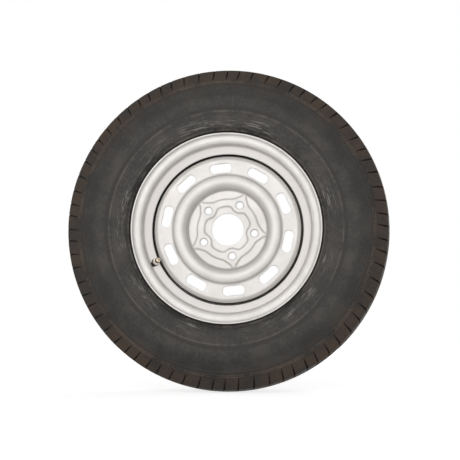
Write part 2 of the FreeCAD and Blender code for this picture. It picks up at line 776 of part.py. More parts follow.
def main():
    sub_parts = [
        make_rim(),
        make_disc(),
        make_welds(),
        make_tyre(),
        make_stem(),
        make_grommet(),
        make_washer(),
        make_nut(),
        make_core_body(),
        make_core_gasket(),
        make_core_pin(),
        make_core_seal(),
        make_core_spring(),
    ]
    doc.recompute()
    failed = [item.Name for item in doc.Objects if {"Invalid", "Error"} & set(item.State)]
    if failed:
        raise RuntimeError("failed objects: " + ", ".join(failed))
    unsound = [part.Label for part in sub_parts if not sound(part.Shape)]
    if unsound:
        raise RuntimeError("unsound sub-parts: " + ", ".join(unsound))
    os.makedirs("parts", exist_ok=True)
    for part in sub_parts:
        part.Shape.exportStep(f"parts/{part.Label}.step")
        print(part.Label, len(part.Shape.Solids), round(part.Shape.Volume, 1))


main()
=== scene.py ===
# %% [markdown]
# # A caravan wheel
#
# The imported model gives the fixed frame: every node sits where the steel, rubber or brass piece sits on
# the real wheel. This lesson dresses that frame. Each visible piece is worked out again as a smooth
# surface that keeps the node's place and size, and each finish is built from nodes.
#
# The wheel turns about Y, its outer face looks along -Y and +Z is up. Sizes below are millimetres, and
# "out" is the distance from the wheel's middle plane towards the outer face.

# %% Load the frame
import math

import bmesh
import bpy
import numpy as np
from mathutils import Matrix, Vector


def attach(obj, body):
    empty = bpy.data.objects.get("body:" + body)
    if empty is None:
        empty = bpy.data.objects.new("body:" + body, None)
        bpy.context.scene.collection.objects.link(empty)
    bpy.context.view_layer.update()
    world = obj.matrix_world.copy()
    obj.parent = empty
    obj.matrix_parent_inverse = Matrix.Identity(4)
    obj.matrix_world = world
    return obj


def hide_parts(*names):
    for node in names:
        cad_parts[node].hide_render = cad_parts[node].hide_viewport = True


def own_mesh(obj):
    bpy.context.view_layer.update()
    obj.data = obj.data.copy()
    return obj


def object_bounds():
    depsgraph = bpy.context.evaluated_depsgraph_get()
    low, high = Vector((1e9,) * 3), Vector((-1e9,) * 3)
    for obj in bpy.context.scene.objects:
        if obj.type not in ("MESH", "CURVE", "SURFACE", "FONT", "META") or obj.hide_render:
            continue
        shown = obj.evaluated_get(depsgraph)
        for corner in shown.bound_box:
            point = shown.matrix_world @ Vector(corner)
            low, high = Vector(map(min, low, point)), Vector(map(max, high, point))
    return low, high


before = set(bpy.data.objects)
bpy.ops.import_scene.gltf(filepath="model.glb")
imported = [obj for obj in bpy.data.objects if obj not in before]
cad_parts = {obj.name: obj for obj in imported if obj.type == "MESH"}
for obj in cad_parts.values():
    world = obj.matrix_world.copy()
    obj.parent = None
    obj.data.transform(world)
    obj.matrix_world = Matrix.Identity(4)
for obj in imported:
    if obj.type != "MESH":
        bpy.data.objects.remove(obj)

cad_low, cad_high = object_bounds()

# %% [markdown]
# ## Curves and grids
#
# Almost everything on a wheel is a section carried round an axle, so three helpers do most of the work:
# one rounds the corners of a path as a press or a roller does, one gives a path the thickness of sheet
# metal, and one turns grids of points into a closed mesh. A Screw modifier could spin a section too, but
# a formula lets the section change with the angle, which notches, lobes and threads need.

# %% Paths with round bends
MM = 0.001
TURN = 2 * np.pi


def unit(vectors):
    """Each vector divided by its own length."""
    return vectors / np.linalg.norm(vectors, axis=-1, keepdims=True)


def rounded_path(corners, bend_steps=7, longest=3.0):
    """Points along straight runs that a circle joins at each inner corner (first, second, bend radius).

    A bend of radius R leaves each run R / tan(half the corner's angle) before the corner. Its points are the
    two end radii blended on the circle, sin((1-t)a) and sin(ta) over sin(a). Long runs get extra points.
    """
    table = np.array(corners, float)
    place, corner, radius = table[:, :2], table[1:-1, :2], table[1:-1, 2:]
    back = unit(place[:-2] - corner)
    onward = unit(place[2:] - corner)
    half = np.arccos(np.clip((back * onward).sum(1, keepdims=True), -1, 1)) / 2
    centre = corner + unit(back + onward) * radius / np.sin(half)
    reach = radius / np.tan(half)
    first = (corner + back * reach - centre)[:, None]
    last = (corner + onward * reach - centre)[:, None]
    turn = (np.pi - 2 * half)[:, None, :]
    share = np.linspace(0, 1, bend_steps)[None, :, None]
    bend = (np.sin((1 - share) * turn) * first + np.sin(share * turn) * last) / np.sin(turn)
    points = np.concatenate([place[:1], (centre[:, None] + bend).reshape(-1, 2), place[-1:]])
    return filled_in(points, longest)


def filled_in(points, longest):
    """The same path with points added evenly where neighbours are further apart than the longest step."""
    length = np.linalg.norm(np.diff(points, axis=0), axis=1)
    travelled = np.concatenate([[0], np.cumsum(length)])
    count = np.maximum(1, np.ceil(length / longest).astype(int))
    start = np.repeat(np.arange(len(length)), count)
    step = np.arange(len(start)) - np.repeat(np.cumsum(count) - count, count)
    wanted = np.append(travelled[start] + length[start] * step / count[start], travelled[-1])
    return np.stack([np.interp(wanted, travelled, points[:, axis]) for axis in (0, 1)], axis=1)


def left_of(path):
    """Unit vectors square to a path, on the left when walking along it with the first axis to the right."""
    along = unit(np.gradient(path, axis=0))
    return np.stack([-along[:, 1], along[:, 0]], axis=1)


def round_nose(end, side, reach):
    """The round end of a sheet, from one side to the other: end + side cos(a) + reach sin(a)."""
    sweep = np.linspace(0, np.pi, 7)[1:-1, None]
    return end + side * np.cos(sweep) + reach * np.sin(sweep)


def sheet_loop(path, gauge, nose):
    """The closed section of a sheet: half the gauge on each side of a path, and a round nose at each end."""
    side = left_of(path) * gauge / 2
    tip = round_nose(path[-1:], side[-1:], unit(path[-1:] - path[-2:-1]) * nose)
    root = round_nose(path[:1], -side[:1], unit(path[:1] - path[1:2]) * nose)
    return np.concatenate([path + side, tip, (path - side)[::-1], root])


# %% Grids to meshes
def full_turn(count):
    """Angles of a full turn, one for each column."""
    return np.linspace(0, TURN, count, endpoint=False)[:, None]


def turned(radius, out, angle):
    """Points carried round the wheel: x = radius cos(angle), z = radius sin(angle), y = -out, in metres."""
    radius, out, angle = np.broadcast_arrays(radius, out, angle)
    return np.stack([radius * np.cos(angle), -out, radius * np.sin(angle)], axis=-1) * MM


def grid_quads(columns, rows, wrap_columns, wrap_rows):
    """Corner numbers of a grid's squares, where point (column, row) has the number column * rows + row."""
    column = np.arange(columns if wrap_columns else columns - 1)[:, None]
    row = np.arange(rows if wrap_rows else rows - 1)[None, :]
    next_column, next_row = (column + 1) % columns, (row + 1) % rows
    corners = ((column, row), (next_column, row), (next_column, next_row), (column, next_row))
    numbers = [across * rows + along for across, along in corners]
    return np.stack(np.broadcast_arrays(*numbers), axis=-1).reshape(-1, 4)


def add_object(name, data):
    """A new object at the origin, in the scene's own collection."""
    made = bpy.data.objects.new(name, data)
    bpy.context.scene.collection.objects.link(made)
    return made


def make_piece(name, grids, sharp=32.0, weld=0.004):
    """One closed mesh from grids (points, wraps in columns, wraps in rows), welded where their edges meet.

    Edges that turn by more than sharp degrees stay hard, and points nearer than weld millimetres become one.
    """
    points, quads, count = [], [], 0
    for grid, wrap_columns, wrap_rows in grids:
        columns, rows = grid.shape[:2]
        points.append(grid.reshape(-1, 3))
        quads.append(grid_quads(columns, rows, wrap_columns, wrap_rows) + count)
        count += columns * rows
    points, quads = np.concatenate(points), np.concatenate(quads)
    mesh = bpy.data.meshes.new(name)
    mesh.vertices.add(len(points))
    mesh.vertices.foreach_set("co", points.astype(np.float32).ravel())
    mesh.loops.add(quads.size)
    mesh.loops.foreach_set("vertex_index", quads.astype(np.int32).ravel())
    mesh.polygons.add(len(quads))
    mesh.polygons.foreach_set("loop_start", np.arange(0, quads.size, 4, dtype=np.int32))
    mesh.update(calc_edges=True)
    shell = bmesh.new()
    shell.from_mesh(mesh)
    bmesh.ops.remove_doubles(shell, verts=shell.verts, dist=weld * MM)
    bmesh.ops.recalc_face_normals(shell, faces=shell.faces)
    open_edges = sum(not edge.is_manifold for edge in shell.edges)
    volume = shell.calc_volume(signed=True) * 1e6
    shell.to_mesh(mesh)
    shell.free()
    mesh.polygons.foreach_set("use_smooth", np.ones(len(mesh.polygons), bool))
    mesh.set_sharp_from_angle(angle=math.radians(sharp))
    print(f"{name}: {len(mesh.polygons)} faces, {open_edges} open edges, {volume:.1f} cm3")
    return add_object(name, mesh)


def mark_points(piece, name, amount):
    """Store a named value on each point of a piece, worked out from the points in millimetres."""
    places = np.empty(len(piece.data.vertices) * 3, np.float32)
    piece.data.vertices.foreach_get("co", places)
    layer = piece.data.attributes.new(name, "FLOAT", "POINT")
    layer.data.foreach_set("value", amount(places.reshape(-1, 3) / MM).astype(np.float32))


def finish_piece(piece, material, body, node):
    """Give a piece its material, let it ride a body and stand for its node."""
    piece.data.materials.append(material)
    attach(piece, body)
    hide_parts(node)


# %% [markdown]
# ## Node helper and colours
#
# Colours are written as the sRGB values that an eye would pick, and Blender's shaders want linear light,
# so one function converts them. Another adds a node, sets its properties and fills or links its sockets.
# Most dirt and wear on a wheel lies in rings, so a mask between radii, a stack of coats and a grain do
# the rest.

# %% Colours and nodes
def paint(hex_code):
    """Linear RGBA of an sRGB hex value: c / 12.92 if dark, else ((c + 0.055) / 1.055) to the power 2.4."""
    channels = np.array([int(hex_code[i:i + 2], 16) for i in (1, 3, 5)]) / 255
    linear = np.where(channels <= 0.04045, channels / 12.92, ((channels + 0.055) / 1.055) ** 2.4)
    return (*linear.tolist(), 1.0)


def add_node(tree, kind, inputs=None, take=None, **settings):
    """Add a shader node, set its properties, and fill its sockets with values or links.

    Gives the output that take names, or else the first one that the settings leave in use.
    """
    made = tree.nodes.new("ShaderNode" + kind)
    for name, value in settings.items():
        setattr(made, name, value)
    for socket, value in (inputs or {}).items():
        if isinstance(value, bpy.types.NodeSocket):
            tree.links.new(value, made.inputs[socket])
        else:
            made.inputs[socket].default_value = value
    if take:
        return made.outputs[take]
    return next((output for output in made.outputs if output.enabled), None)


def new_material(name):
    """A material with an empty node tree, and that tree."""
    material = bpy.data.materials.new(name)
    material.use_nodes = True
    material.node_tree.nodes.clear()
    print("material:", name)
    return material, material.node_tree


def axle_places(tree):
    """Object coordinates, the same dropped on the wheel's middle plane, and the distance from the axle."""
    point = add_node(tree, "TexCoord", take="Object")
    flat = add_node(tree, "VectorMath", {0: point, 1: (1.0, 0.0, 1.0)}, operation="MULTIPLY")
    return point, flat, add_node(tree, "VectorMath", {0: flat}, operation="LENGTH")


def soft_mask(tree, length, edges, most=1.0):
    """A mask over a length: most past every edge (nothing at, full at, in mm), fading to 0 before it."""
    for nothing, full in edges:
        most = add_node(tree, "MapRange", {
            "Value": length, "From Min": nothing * MM, "From Max": full * MM, "To Max": most},
            interpolation_type="SMOOTHSTEP")
    return most


def coated(tree, colour, coats):
    """A colour under coats of dust or wear: each (mask, hex value) covers it as far as its mask says."""
    for mask, hex_code in coats:
        colour = add_node(tree, "Mix", {"Factor": mask, "A": colour, "B": paint(hex_code)}, data_type="RGBA")
    return colour


def grained(tree, point, grain, strength, depth, sockets):
    """Close a tree with a shader whose surface has a grain of noise (scale, detail), so many metres deep."""
    noise = add_node(tree, "TexNoise", {"Vector": point, "Scale": grain[0], "Detail": grain[1]})
    bump = add_node(tree, "Bump", {"Height": noise, "Strength": strength, "Distance": depth})
    shader = add_node(tree, "BsdfPrincipled", {**sockets, "Normal": bump})
    add_node(tree, "OutputMaterial", {"Surface": shader})


# %% [markdown]
# ## The tyre's rubber
#
# Tyre rubber is moulded carbon-black rubber: it is nearly matt, a dark charcoal rather than black, and it
# holds dust. Wheels that have been handled show a cloudy grey bloom, a browner tread and shoulder, and
# chalky rubs near the rim where the bead was levered on. The rubs run round the wheel, so their noise is
# stretched along the direction of travel: it reads the direction from the axle, which repeats after a
# full turn and so has no seam.

# %% Tyre rubber
def tyre_rubber():
    """Moulded tyre rubber: charcoal, matt, cloudy with dust, brown at the tread, chalky near the rim."""
    material, tree = new_material("moulded_tyre_rubber")
    point, flat, distance = axle_places(tree)
    # Dust gathers in clouds some 50 mm across, and a fainter mottling of about 6 mm lies over them.
    cloud = add_node(tree, "TexNoise", {"Vector": point, "Scale": 20.0, "Detail": 4.0, "Roughness": 0.58})
    mottle = add_node(tree, "TexNoise", {"Vector": point, "Scale": 170.0, "Detail": 3.0, "Roughness": 0.6})
    dusty = add_node(tree, "Math", {0: mottle, 1: 0.45, 2: cloud}, operation="MULTIPLY_ADD")
    dust = add_node(tree, "MapRange", {"Value": dusty, "From Min": 0.61, "From Max": 0.84})
    # The tread and shoulder have a browner cast than the sidewall.
    side = coated(tree, paint("#1F1D1B"), [(dust, "#494643")])
    tread = coated(tree, paint("#1F1B18"), [(dust, "#42372E")])
    browner = soft_mask(tree, distance, [(282.0, 302.0)])
    rubber = add_node(tree, "Mix", {"Factor": browner, "A": side, "B": tread}, data_type="RGBA")
    # Chalky rubs: thin streaks about 1.2 mm wide and some 60 mm long, only near the rim and only in patches.
    way = add_node(tree, "VectorMath", {0: flat}, operation="NORMALIZE")
    across = add_node(tree, "Math", {0: distance, 1: 560.0}, operation="MULTIPLY")
    across = add_node(tree, "CombineXYZ", {"Y": across})
    streak_at = add_node(tree, "VectorMath", {
        0: way, 1: (7.0, 7.0, 7.0), 2: across}, operation="MULTIPLY_ADD")
    streak = add_node(tree, "TexNoise", {"Vector": streak_at, "Scale": 1.0, "Detail": 5.0, "Roughness": 0.7})
    patch = add_node(tree, "TexNoise", {"Vector": way, "Scale": 2.3, "Detail": 2.0})
    patch = add_node(tree, "MapRange", {"Value": patch, "From Min": 0.43, "From Max": 0.58})
    rub = add_node(tree, "MapRange", {"Value": streak, "From Min": 0.53, "From Max": 0.69, "To Max": patch})
    colour = coated(tree, rubber, [
        # Painted shade: under the shoulder the rubber is painted darker.
        (soft_mask(tree, distance, [(260.5, 272.5), (304.5, 292.5)], 0.3), "#1B1918"),
        # Painted shade: the corner of the step is painted darker.
        (soft_mask(tree, distance, [(237.3, 240.3), (247.7, 244.7)], 0.4), "#1F1D1B"),
        # Painted highlight: the crests of the two ribs and the brow of the step are painted paler, more
        # where there is dust.
        (soft_mask(tree, distance, [(299.7, 300.6), (302.3, 301.4)], dust), "#5C5650"),
        (soft_mask(tree, distance, [(296.3, 297.2), (298.9, 298.0)], dust), "#5C5650"),
        (soft_mask(tree, distance, [(234.2, 235.6), (238.2, 236.8)], dust), "#5C5650"),
        # Painted shade: in the crevice over the flange, within about 3 mm of the lip, the rubber is painted
        # near black.
        (soft_mask(tree, distance, [(198.6, 197.2)]), "#191817"),
        # The lip has rubbed a thin pale line on the rubber just above it.
        (soft_mask(tree, distance, [(198.0, 199.0), (201.2, 200.2)], dust), "#64605B"),
        (soft_mask(tree, distance, [(203.0, 208.0), (232.0, 214.0)], rub), "#A9A49D")])
    dull = add_node(tree, "MapRange", {"Value": dust, "To Min": 0.62, "To Max": 0.86})
    # The mould's skin has a grain of about 1.2 mm.
    grained(tree, point, (800.0, 2.0), 0.22, 0.0006, {
        "Base Color": colour, "Roughness": dull, "IOR": 1.5, "Specular IOR Level": 0.35})
    return material


TYRE_RUBBER = tyre_rubber()

# %% [markdown]
# ## The casing
#
# Under its tread a tyre is a casing: two sidewalls that swell out from the beads, and a belt between
# them. The sidewall is not a plain bulge. The mould leaves a pair of fine ribs under the shoulder, a
# faint step half way down and a line just above the rim, which a fitter uses to see that the bead sits
# true. These rings are small bumps on the section, so the section gets close rows where they are.

# %% Sizes of the tyre
TYRE_R, TREAD_HALF, CROWN_DROP = 332.9, 74.0, 7.0
BUTTRESS = (298.0, 86.5)
SIDE_HALF = 97.5
# The tread's edge ends on the shoulder, and the casing starts just below it.
SEAM_R = 303.2
CASING_R = SEAM_R - 0.4
# Rings as (middle radius, width, height): the two ribs, a faint one, and two over the rim.
SIDE_RINGS = ((301.0, 0.8, 1.2), (297.6, 0.8, 1.1), (291.2, 0.9, 0.6), (205.2, 0.8, 1.1), (209.6, 0.6, 0.35))
STEP_R, STEP_TALL, STEP_SOFT = 242.0, 0.9, 0.7


def buttress_out(radius):
    """How far out the straight shoulder lies at a radius, between the tread's edge and the buttress."""
    edge_r = TYRE_R - CROWN_DROP
    share = (edge_r - radius) / (edge_r - BUTTRESS[0])
    return TREAD_HALF + share * (BUTTRESS[1] - TREAD_HALF)


SIDE_PATH = rounded_path([
    (CASING_R, buttress_out(CASING_R), 0), (*BUTTRESS, 26), (268.0, SIDE_HALF, 50), (238.0, SIDE_HALF, 50),
    (203.0, 89.5, 3), (195.0, 78.0, 0)], longest=1.0)


def side_relief(radius):
    """Height of the rings and the step: a bell curve for each ring and a logistic curve for the step."""
    rings = sum(tall * np.exp(-((radius - middle) / width) ** 2) for middle, width, tall in SIDE_RINGS)
    return rings + STEP_TALL / (1 + np.exp((STEP_R - radius) / STEP_SOFT))


def side_out(radius):
    """How far out the finished sidewall lies at a radius above its foot."""
    return np.interp(radius, SIDE_PATH[::-1, 0], SIDE_PATH[::-1, 1]) + side_relief(radius)


print("sidewall:", round(float(side_out(253.0)), 2), "mm out at its widest")

# %% The casing's section
CASING_COLUMNS = 216
# Rows of the sidewall as (from, to, step): 2 mm apart, and closer over the rings and the step.
SIDE_ROWS = ((204.0, CASING_R, 2.0), (203.6, 211.5, 0.3), (239.0, 245.0, 0.5), (289.0, 293.6, 0.4),
             (295.6, CASING_R, 0.3))
side_r = np.concatenate([np.arange(*run) for run in SIDE_ROWS] + [[CASING_R]])
side_r = np.unique(np.round(side_r, 3))[::-1]
sidewall = np.stack([side_r, side_out(side_r)], axis=1)
bead = rounded_path([
    (203.0, 89.5, 0), (195.0, 78.0, 0.8), (195.0, 69.55, 7.0), (177.7, 69.55, 6.2), (176.2, 52.85, 4),
    (255.0, 90.0, 60), (318.0, 60.0, 26), (318.0, 0.0, 0)], longest=8.0)
belt = rounded_path([
    (321.6, 0.0, 0), (321.6, 52.0, 22), (304.4, 80.8, 2),
    (CASING_R, buttress_out(CASING_R), 0)], longest=8.0)
casing_half = np.concatenate([belt[:-1], sidewall, bead[1:]])
casing_loop = np.concatenate([casing_half[:-1], (casing_half * [1, -1])[::-1][:-1]])
casing_grid = turned(casing_loop[:, 0], casing_loop[:, 1], full_turn(CASING_COLUMNS))
casing = make_piece("tyre_casing", [(casing_grid, True, True)])
finish_piece(casing, TYRE_RUBBER, "wheel", "tyre")

# %% [markdown]
# ## The tread
#
# The tread is a strip of harder rubber round the casing. It has four ribs between three grooves, fine
# cuts across the ribs, and a slanted slot at every pitch of the shoulder. The pitches are short, middle
# and long in a mixed order, so that the tyre doesn't sing one note. The grid follows the slots: four
# columns mark each slot's lips and floor, and every row turns the whole ring a little, which slants the
# slots without bending the grid.

# %% Rows of the tread
CROWN_POWER = 2.6
GROOVE_DEEP, GROOVE_OUT, GROOVE_TOP, GROOVE_FLOOR = 8.0, 34.0, 4.5, 3.3
EDGE_OUT, EDGE_BEND = 72.2, 1.6
# Rows stand on the floor and lips of each groove, and closer together towards the shoulder.
crown_out = np.array([
    0, 3.3, 4.5, 5.2, 9, 13, 17, 21, 25, 28.8, 29.5, 30.7, 34, 37.3, 38.5, 39.2, 43, 47, 51, 54, 56, 58.5,
    61, 63.5, 66, 68.5, 70.6])


def groove_depth(out):
    """Depth of the nearest of the grooves at 0 and 34 mm: full on the floor, none past the lips."""
    away = np.minimum(np.abs(out), np.abs(np.abs(out) - GROOVE_OUT))
    return GROOVE_DEEP * np.clip((GROOVE_TOP - away) / (GROOVE_TOP - GROOVE_FLOOR), 0, 1)


def crown_r(out):
    """Radius of the crown: the full radius less a drop that grows with a power of the distance out."""
    return TYRE_R - CROWN_DROP * (np.abs(out) / TREAD_HALF) ** CROWN_POWER


crown = np.stack([crown_r(crown_out) - groove_depth(crown_out), crown_out], axis=1)
edge = rounded_path([
    (crown_r(EDGE_OUT), EDGE_OUT, 0), (crown_r(TREAD_HALF), TREAD_HALF, EDGE_BEND),
    (SEAM_R, buttress_out(SEAM_R), 0)], bend_steps=4, longest=2.6)
under = rounded_path([
    (SEAM_R, buttress_out(SEAM_R), 0), (304.9, 81.2, 2), (322.0, 52.0, 22), (322.0, 0.0, 0)], longest=9.0)
tread_rows = np.concatenate([crown, edge, under[1:]])
print("tread:", len(tread_rows), "rows on each side")

# %% Slots and cuts
PITCH_RUN = "SMMLMSMLLMSM" * 6
PITCH_TURN = {"S": 4.3, "M": 5.0, "L": 5.7}
SLANT = math.tan(math.radians(9))
SLOT_IN, SLOT_FOOT_R = 18.0, 303.6
# Width of the slots and cuts, and how far the rows turn, by the distance out.
SLOT_WIDTH = ((0, 54, 58, 74, 84), (1.1, 1.1, 2.8, 3.4, 2.6))
ROW_TURN = ((0, 5.2, 28.8, 39.2, TREAD_HALF), (0, -5, 5, -9, 0))
# Fine cuts as (from, to, run-out at their ends): on the inner rib from lip to lip, and on the outer rib.
CUT_DEEP = 5.5
CUTS = ((GROOVE_TOP, GROOVE_OUT - GROOVE_TOP, 1.0), (43.0, 57.0, 1.5))
pitch = np.radians([PITCH_TURN[name] for name in PITCH_RUN])
slot_at = np.concatenate([[0], np.cumsum(pitch)[:-1]])
slot_start = np.array([crown_r(TREAD_HALF - SLOT_IN), TREAD_HALF - SLOT_IN])
slot_along = unit(np.array([SLOT_FOOT_R, buttress_out(SLOT_FOOT_R)]) - slot_start)
slot_up = np.array([slot_along[1], -slot_along[0]])
print("tread:", len(pitch), "slots on each side in", round(math.degrees(pitch.sum()), 3), "degrees")


def slot_floor(rows):
    """How deep the slot lies under each row: the row's height over the line between the slot's two ends."""
    return np.maximum(0, (rows - slot_start) @ slot_up) * (rows[:, 1] > slot_start[1])


def cut_depth(out):
    """Depth of the fine cuts across the ribs: full inside a rib, running out at its edges."""
    ribs = [np.clip(np.minimum(out - start, end - out) / fade, 0, 1) for start, end, fade in CUTS]
    return CUT_DEEP * sum(ribs)


def tread_band(rows, side):
    """The tread on one side as a grid (column, row): rows of the section, and eight columns to each pitch.

    Slot columns stand at minus and plus half the width from the slot's middle, and plain columns share the
    rest of the pitch. A point sinks along the slot's depth to the floor, or straight in for a fine cut.
    """
    radius, out = rows[:, 0], rows[:, 1]
    slot_deep, cut_deep = slot_floor(rows), cut_depth(out)
    lip = (np.interp(out, *SLOT_WIDTH) / 2 / radius)[None, :]
    slant = SLANT * np.maximum(0, crown_r(TREAD_HALF) - radius) * (out > TREAD_HALF)
    row_turn = side * ((np.interp(out, *ROW_TURN) + slant) / radius)
    gap = pitch[:, None] - 2 * lip
    stops = [-lip, -0.8 * lip, 0.8 * lip, lip] + [lip + gap * share for share in (0.2, 0.4, 0.6, 0.8)]
    angle = slot_at[:, None, None] + np.stack(np.broadcast_arrays(*stops), axis=1) + row_turn
    sunk = np.array([0, 1, 1, 0, 0, 0, 0, 0])[None, :, None]
    sink_r = sunk * np.where(slot_deep > cut_deep, slot_deep * slot_up[0], cut_deep)
    sink_out = sunk * np.where(slot_deep > cut_deep, slot_deep * slot_up[1], 0)
    return turned(radius - sink_r, side * (out - sink_out), angle).reshape(-1, len(rows), 3)


# %% Build the tread
tread_grids = [(tread_band(tread_rows, side), True, False) for side in (1, -1)]
tread = make_piece("tyre_tread", tread_grids, sharp=28.0)
finish_piece(tread, TYRE_RUBBER, "wheel", "tyre")

# %% [markdown]
# ## Moulded bars on the sidewall
#
# Moulds often leave fine upright bars on part of a sidewall, which catch the light and hide flow marks in
# the rubber. Here they stand in plain bands. Each bar is a low ridge that follows the bulge of the
# sidewall: a half round section, carried up the wall and tapered to nothing at both ends.

# %% Bars
BAR_STEP, BAR_HALF, BAR_TALL, BAR_SUNK = 4.4, 0.95, 0.5, 0.6
BAR_FOOT, BAR_TOP = 255.0, 277.0
BAR_ARCS = ((14.0, 76.0), (133.0, 158.0), (196.0, 222.0), (246.0, 292.0))


def pinched(tubes):
    """Tubes (any, station, round) whose first and last stations are drawn together to their middles."""
    ends = tubes[..., [0, -1], :, :]
    tubes[..., [0, -1], :, :] = ends.mean(axis=-2, keepdims=True)
    return tubes


def bar_band(start, finish, side):
    """Bars between two angles: each point lies half width cos(a) aside and sin(a) tall, both tapered."""
    length = math.radians(finish - start) * (BAR_FOOT + BAR_TOP) / 2
    middle = np.radians(np.linspace(start, finish, round(length / BAR_STEP)))[:, None, None]
    share = np.linspace(0, 1, 9)[None, :, None]
    around = full_turn(8).T
    radius = BAR_FOOT + (BAR_TOP - BAR_FOOT) * share
    taper = np.clip(np.sin(np.pi * share), 0.02, 1) ** 0.35
    tall = np.where(np.sin(around) > 0, BAR_TALL, BAR_SUNK)
    angle = middle + BAR_HALF * taper * np.cos(around) / radius
    band = turned(radius, side * (side_out(radius) + tall * taper * np.sin(around)), angle)
    return pinched(band)


bands = [bar_band(start, finish, side) for start, finish in BAR_ARCS for side in (1, -1)]
bars = make_piece("tyre_side_bars", [(bar, False, True) for band in bands for bar in band], sharp=60.0)
finish_piece(bars, TYRE_RUBBER, "wheel", "tyre")

# %% [markdown]
# ## Silver wheel paint
#
# Steel wheels are stove enamelled in a silver paint with fine aluminium flake. It reads as a pale warm
# grey with a soft sheen, not as bare metal: most of what the eye sees is the paint's own colour, with a
# weak blurred reflection. Dust dulls it in patches. Painted shade greys the corners and blackens the
# narrow crevice where the disc is pressed into the rim, with some dirt there, and painted highlights
# lighten the rim's wall and the dome's crest.

# %% Wheel paint
VALVE_SPOT_AT = (-0.1537, -0.0485, -0.0718)
# Rings of painted shade in grey, each as its two edges: at the dome's inner and outer foot, and beside the
# crevice.
SHADE_RINGS = (((77.5, 81.0), (87.5, 84.0)), ((108.5, 110.7), (114.5, 112.3)),
              ((142.5, 146.0), (153.5, 150.0)))


def wheel_paint():
    """Stoved silver paint: pale, satin, flaked, dulled in patches, with painted shade and highlights."""
    material, tree = new_material("stoved_silver_wheel_paint")
    point, _, distance = axle_places(tree)
    # Haze lies in patches some 45 mm across.
    cloud = add_node(tree, "TexNoise", {"Vector": point, "Scale": 22.0, "Detail": 4.0, "Roughness": 0.6})
    haze = add_node(tree, "MapRange", {"Value": cloud, "From Min": 0.35, "From Max": 0.7})
    # Painted highlight: the rim's wall and the dome's crest are painted paler.
    wall = soft_mask(tree, distance, [(155.5, 158.5), (172.5, 169.5)])
    crest = soft_mask(tree, distance, [(90.0, 96.0), (108.0, 102.0)], 0.25)
    # Painted shade: the corners are painted grey, along the foot of the stud band and in the rings.
    grey = add_node(tree, "Attribute", take="Fac", attribute_name="band_foot_shade")
    for edges in SHADE_RINGS:
        grey = add_node(tree, "Math", {0: grey, 1: soft_mask(tree, distance, edges)}, operation="MAXIMUM")
    grey = add_node(tree, "Math", {0: grey, 1: 0.4}, operation="MULTIPLY")
    colour = coated(tree, paint("#DFDCD9"), [
        (haze, "#D3D0CC"), (wall, "#EFEBE8"), (crest, "#EFEBE8"), (grey, "#918C87")])
    # Real flake is about 0.05 mm, far below a pixel, so it is drawn at 0.9 mm and kept faint.
    flake = add_node(tree, "TexVoronoi", {"Vector": point, "Scale": 1100.0}, take="Color")
    colour = add_node(tree, "Mix", {
        "Factor": 0.10, "A": colour, "B": flake}, data_type="RGBA", blend_type="SOFT_LIGHT")
    # Painted shade with some dirt: the crevice where the disc's edge turns in, 151 to 157 mm from the axle
    # and 31 to 39 mm out, is painted near black.
    place = add_node(tree, "SeparateXYZ", {0: point}, take="Y")
    crevice = soft_mask(tree, distance, [(149.5, 151.0), (158.4, 156.8)])
    crevice = soft_mask(tree, place, [(-41.2, -38.8), (-26.0, -31.0)], crevice)
    # Painted shadow with some rubber smear: a dark brown spot about 10 mm across on the wall just outside
    # the valve's foot.
    apart = add_node(tree, "VectorMath", {0: point, 1: VALVE_SPOT_AT}, operation="DISTANCE")
    ragged = add_node(tree, "MapRange", {"Value": cloud, "To Min": -0.003, "To Max": 0.003})
    apart = add_node(tree, "Math", {0: apart, 1: ragged}, operation="ADD")
    spot = soft_mask(tree, apart, [(6.8, 4.2)])
    colour = coated(tree, colour, [(crevice, "#161514"), (spot, "#3B2C25")])
    satin = add_node(tree, "MapRange", {"Value": cloud, "To Min": 0.48, "To Max": 0.6})
    metal = add_node(tree, "MapRange", {"Value": crevice, "To Min": 0.18, "To Max": 0.0})
    # Sprayed paint has a faint orange peel about 3 mm across.
    grained(tree, point, (330.0, 1.0), 0.05, 0.0008, {
        "Base Color": colour, "Metallic": metal, "Roughness": satin, "Specular IOR Level": 0.2})
    return material


WHEEL_PAINT = wheel_paint()

# %% [markdown]
# ## The rim
#
# The rim starts as a flat strip that is rolled into a hoop and formed between rollers, so its gauge is
# the same all along: lip, curl, flange, bead seat, steep wall, well, and the same again on the other
# side. The path below is the middle of the strip, and each bend has the radius that the rollers give it.

# %% Rim
RIM_GAUGE, LIP_NOSE = 3.0, 0.6
RIM_COLUMNS = 300
LIP_R, LIP_END = 193.2, 82.55 - LIP_NOSE
rim_path = rounded_path([
    (LIP_R, LIP_END, 0), (LIP_R, 71.35, 8.0), (175.98, 71.35, 7.0), (174.18, 50.2, 7.0), (156.9, 38.81, 6.0),
    (156.9, -9.05, 16.0), (174.05, -49.93, 9.0), (175.98, -71.35, 7.0), (LIP_R, -71.35, 8.0),
    (LIP_R, -LIP_END, 0)])
rim_loop = sheet_loop(rim_path, RIM_GAUGE, LIP_NOSE)
rim_grid = turned(rim_loop[:, 0], rim_loop[:, 1], full_turn(RIM_COLUMNS))
rim = make_piece("rim_barrel", [(rim_grid, True, True)], sharp=40.0)
finish_piece(rim, WHEEL_PAINT, "wheel", "rim")

# %% [markdown]
# ## The disc
#
# The disc is one pressing: a flat hub face, a dome that stiffens it, a flat ring with vent slots and an
# edge that turns in and is pushed into the rim. A raised band runs round the stud holes, with a lobe at
# each hole and a point that climbs towards the dome. A boolean would cut the holes, but it leaves ragged
# triangles, so the grids are laid round the holes: rays from a hole's middle run to the edge of its
# sector, over the front, down the hole's wall and back behind.

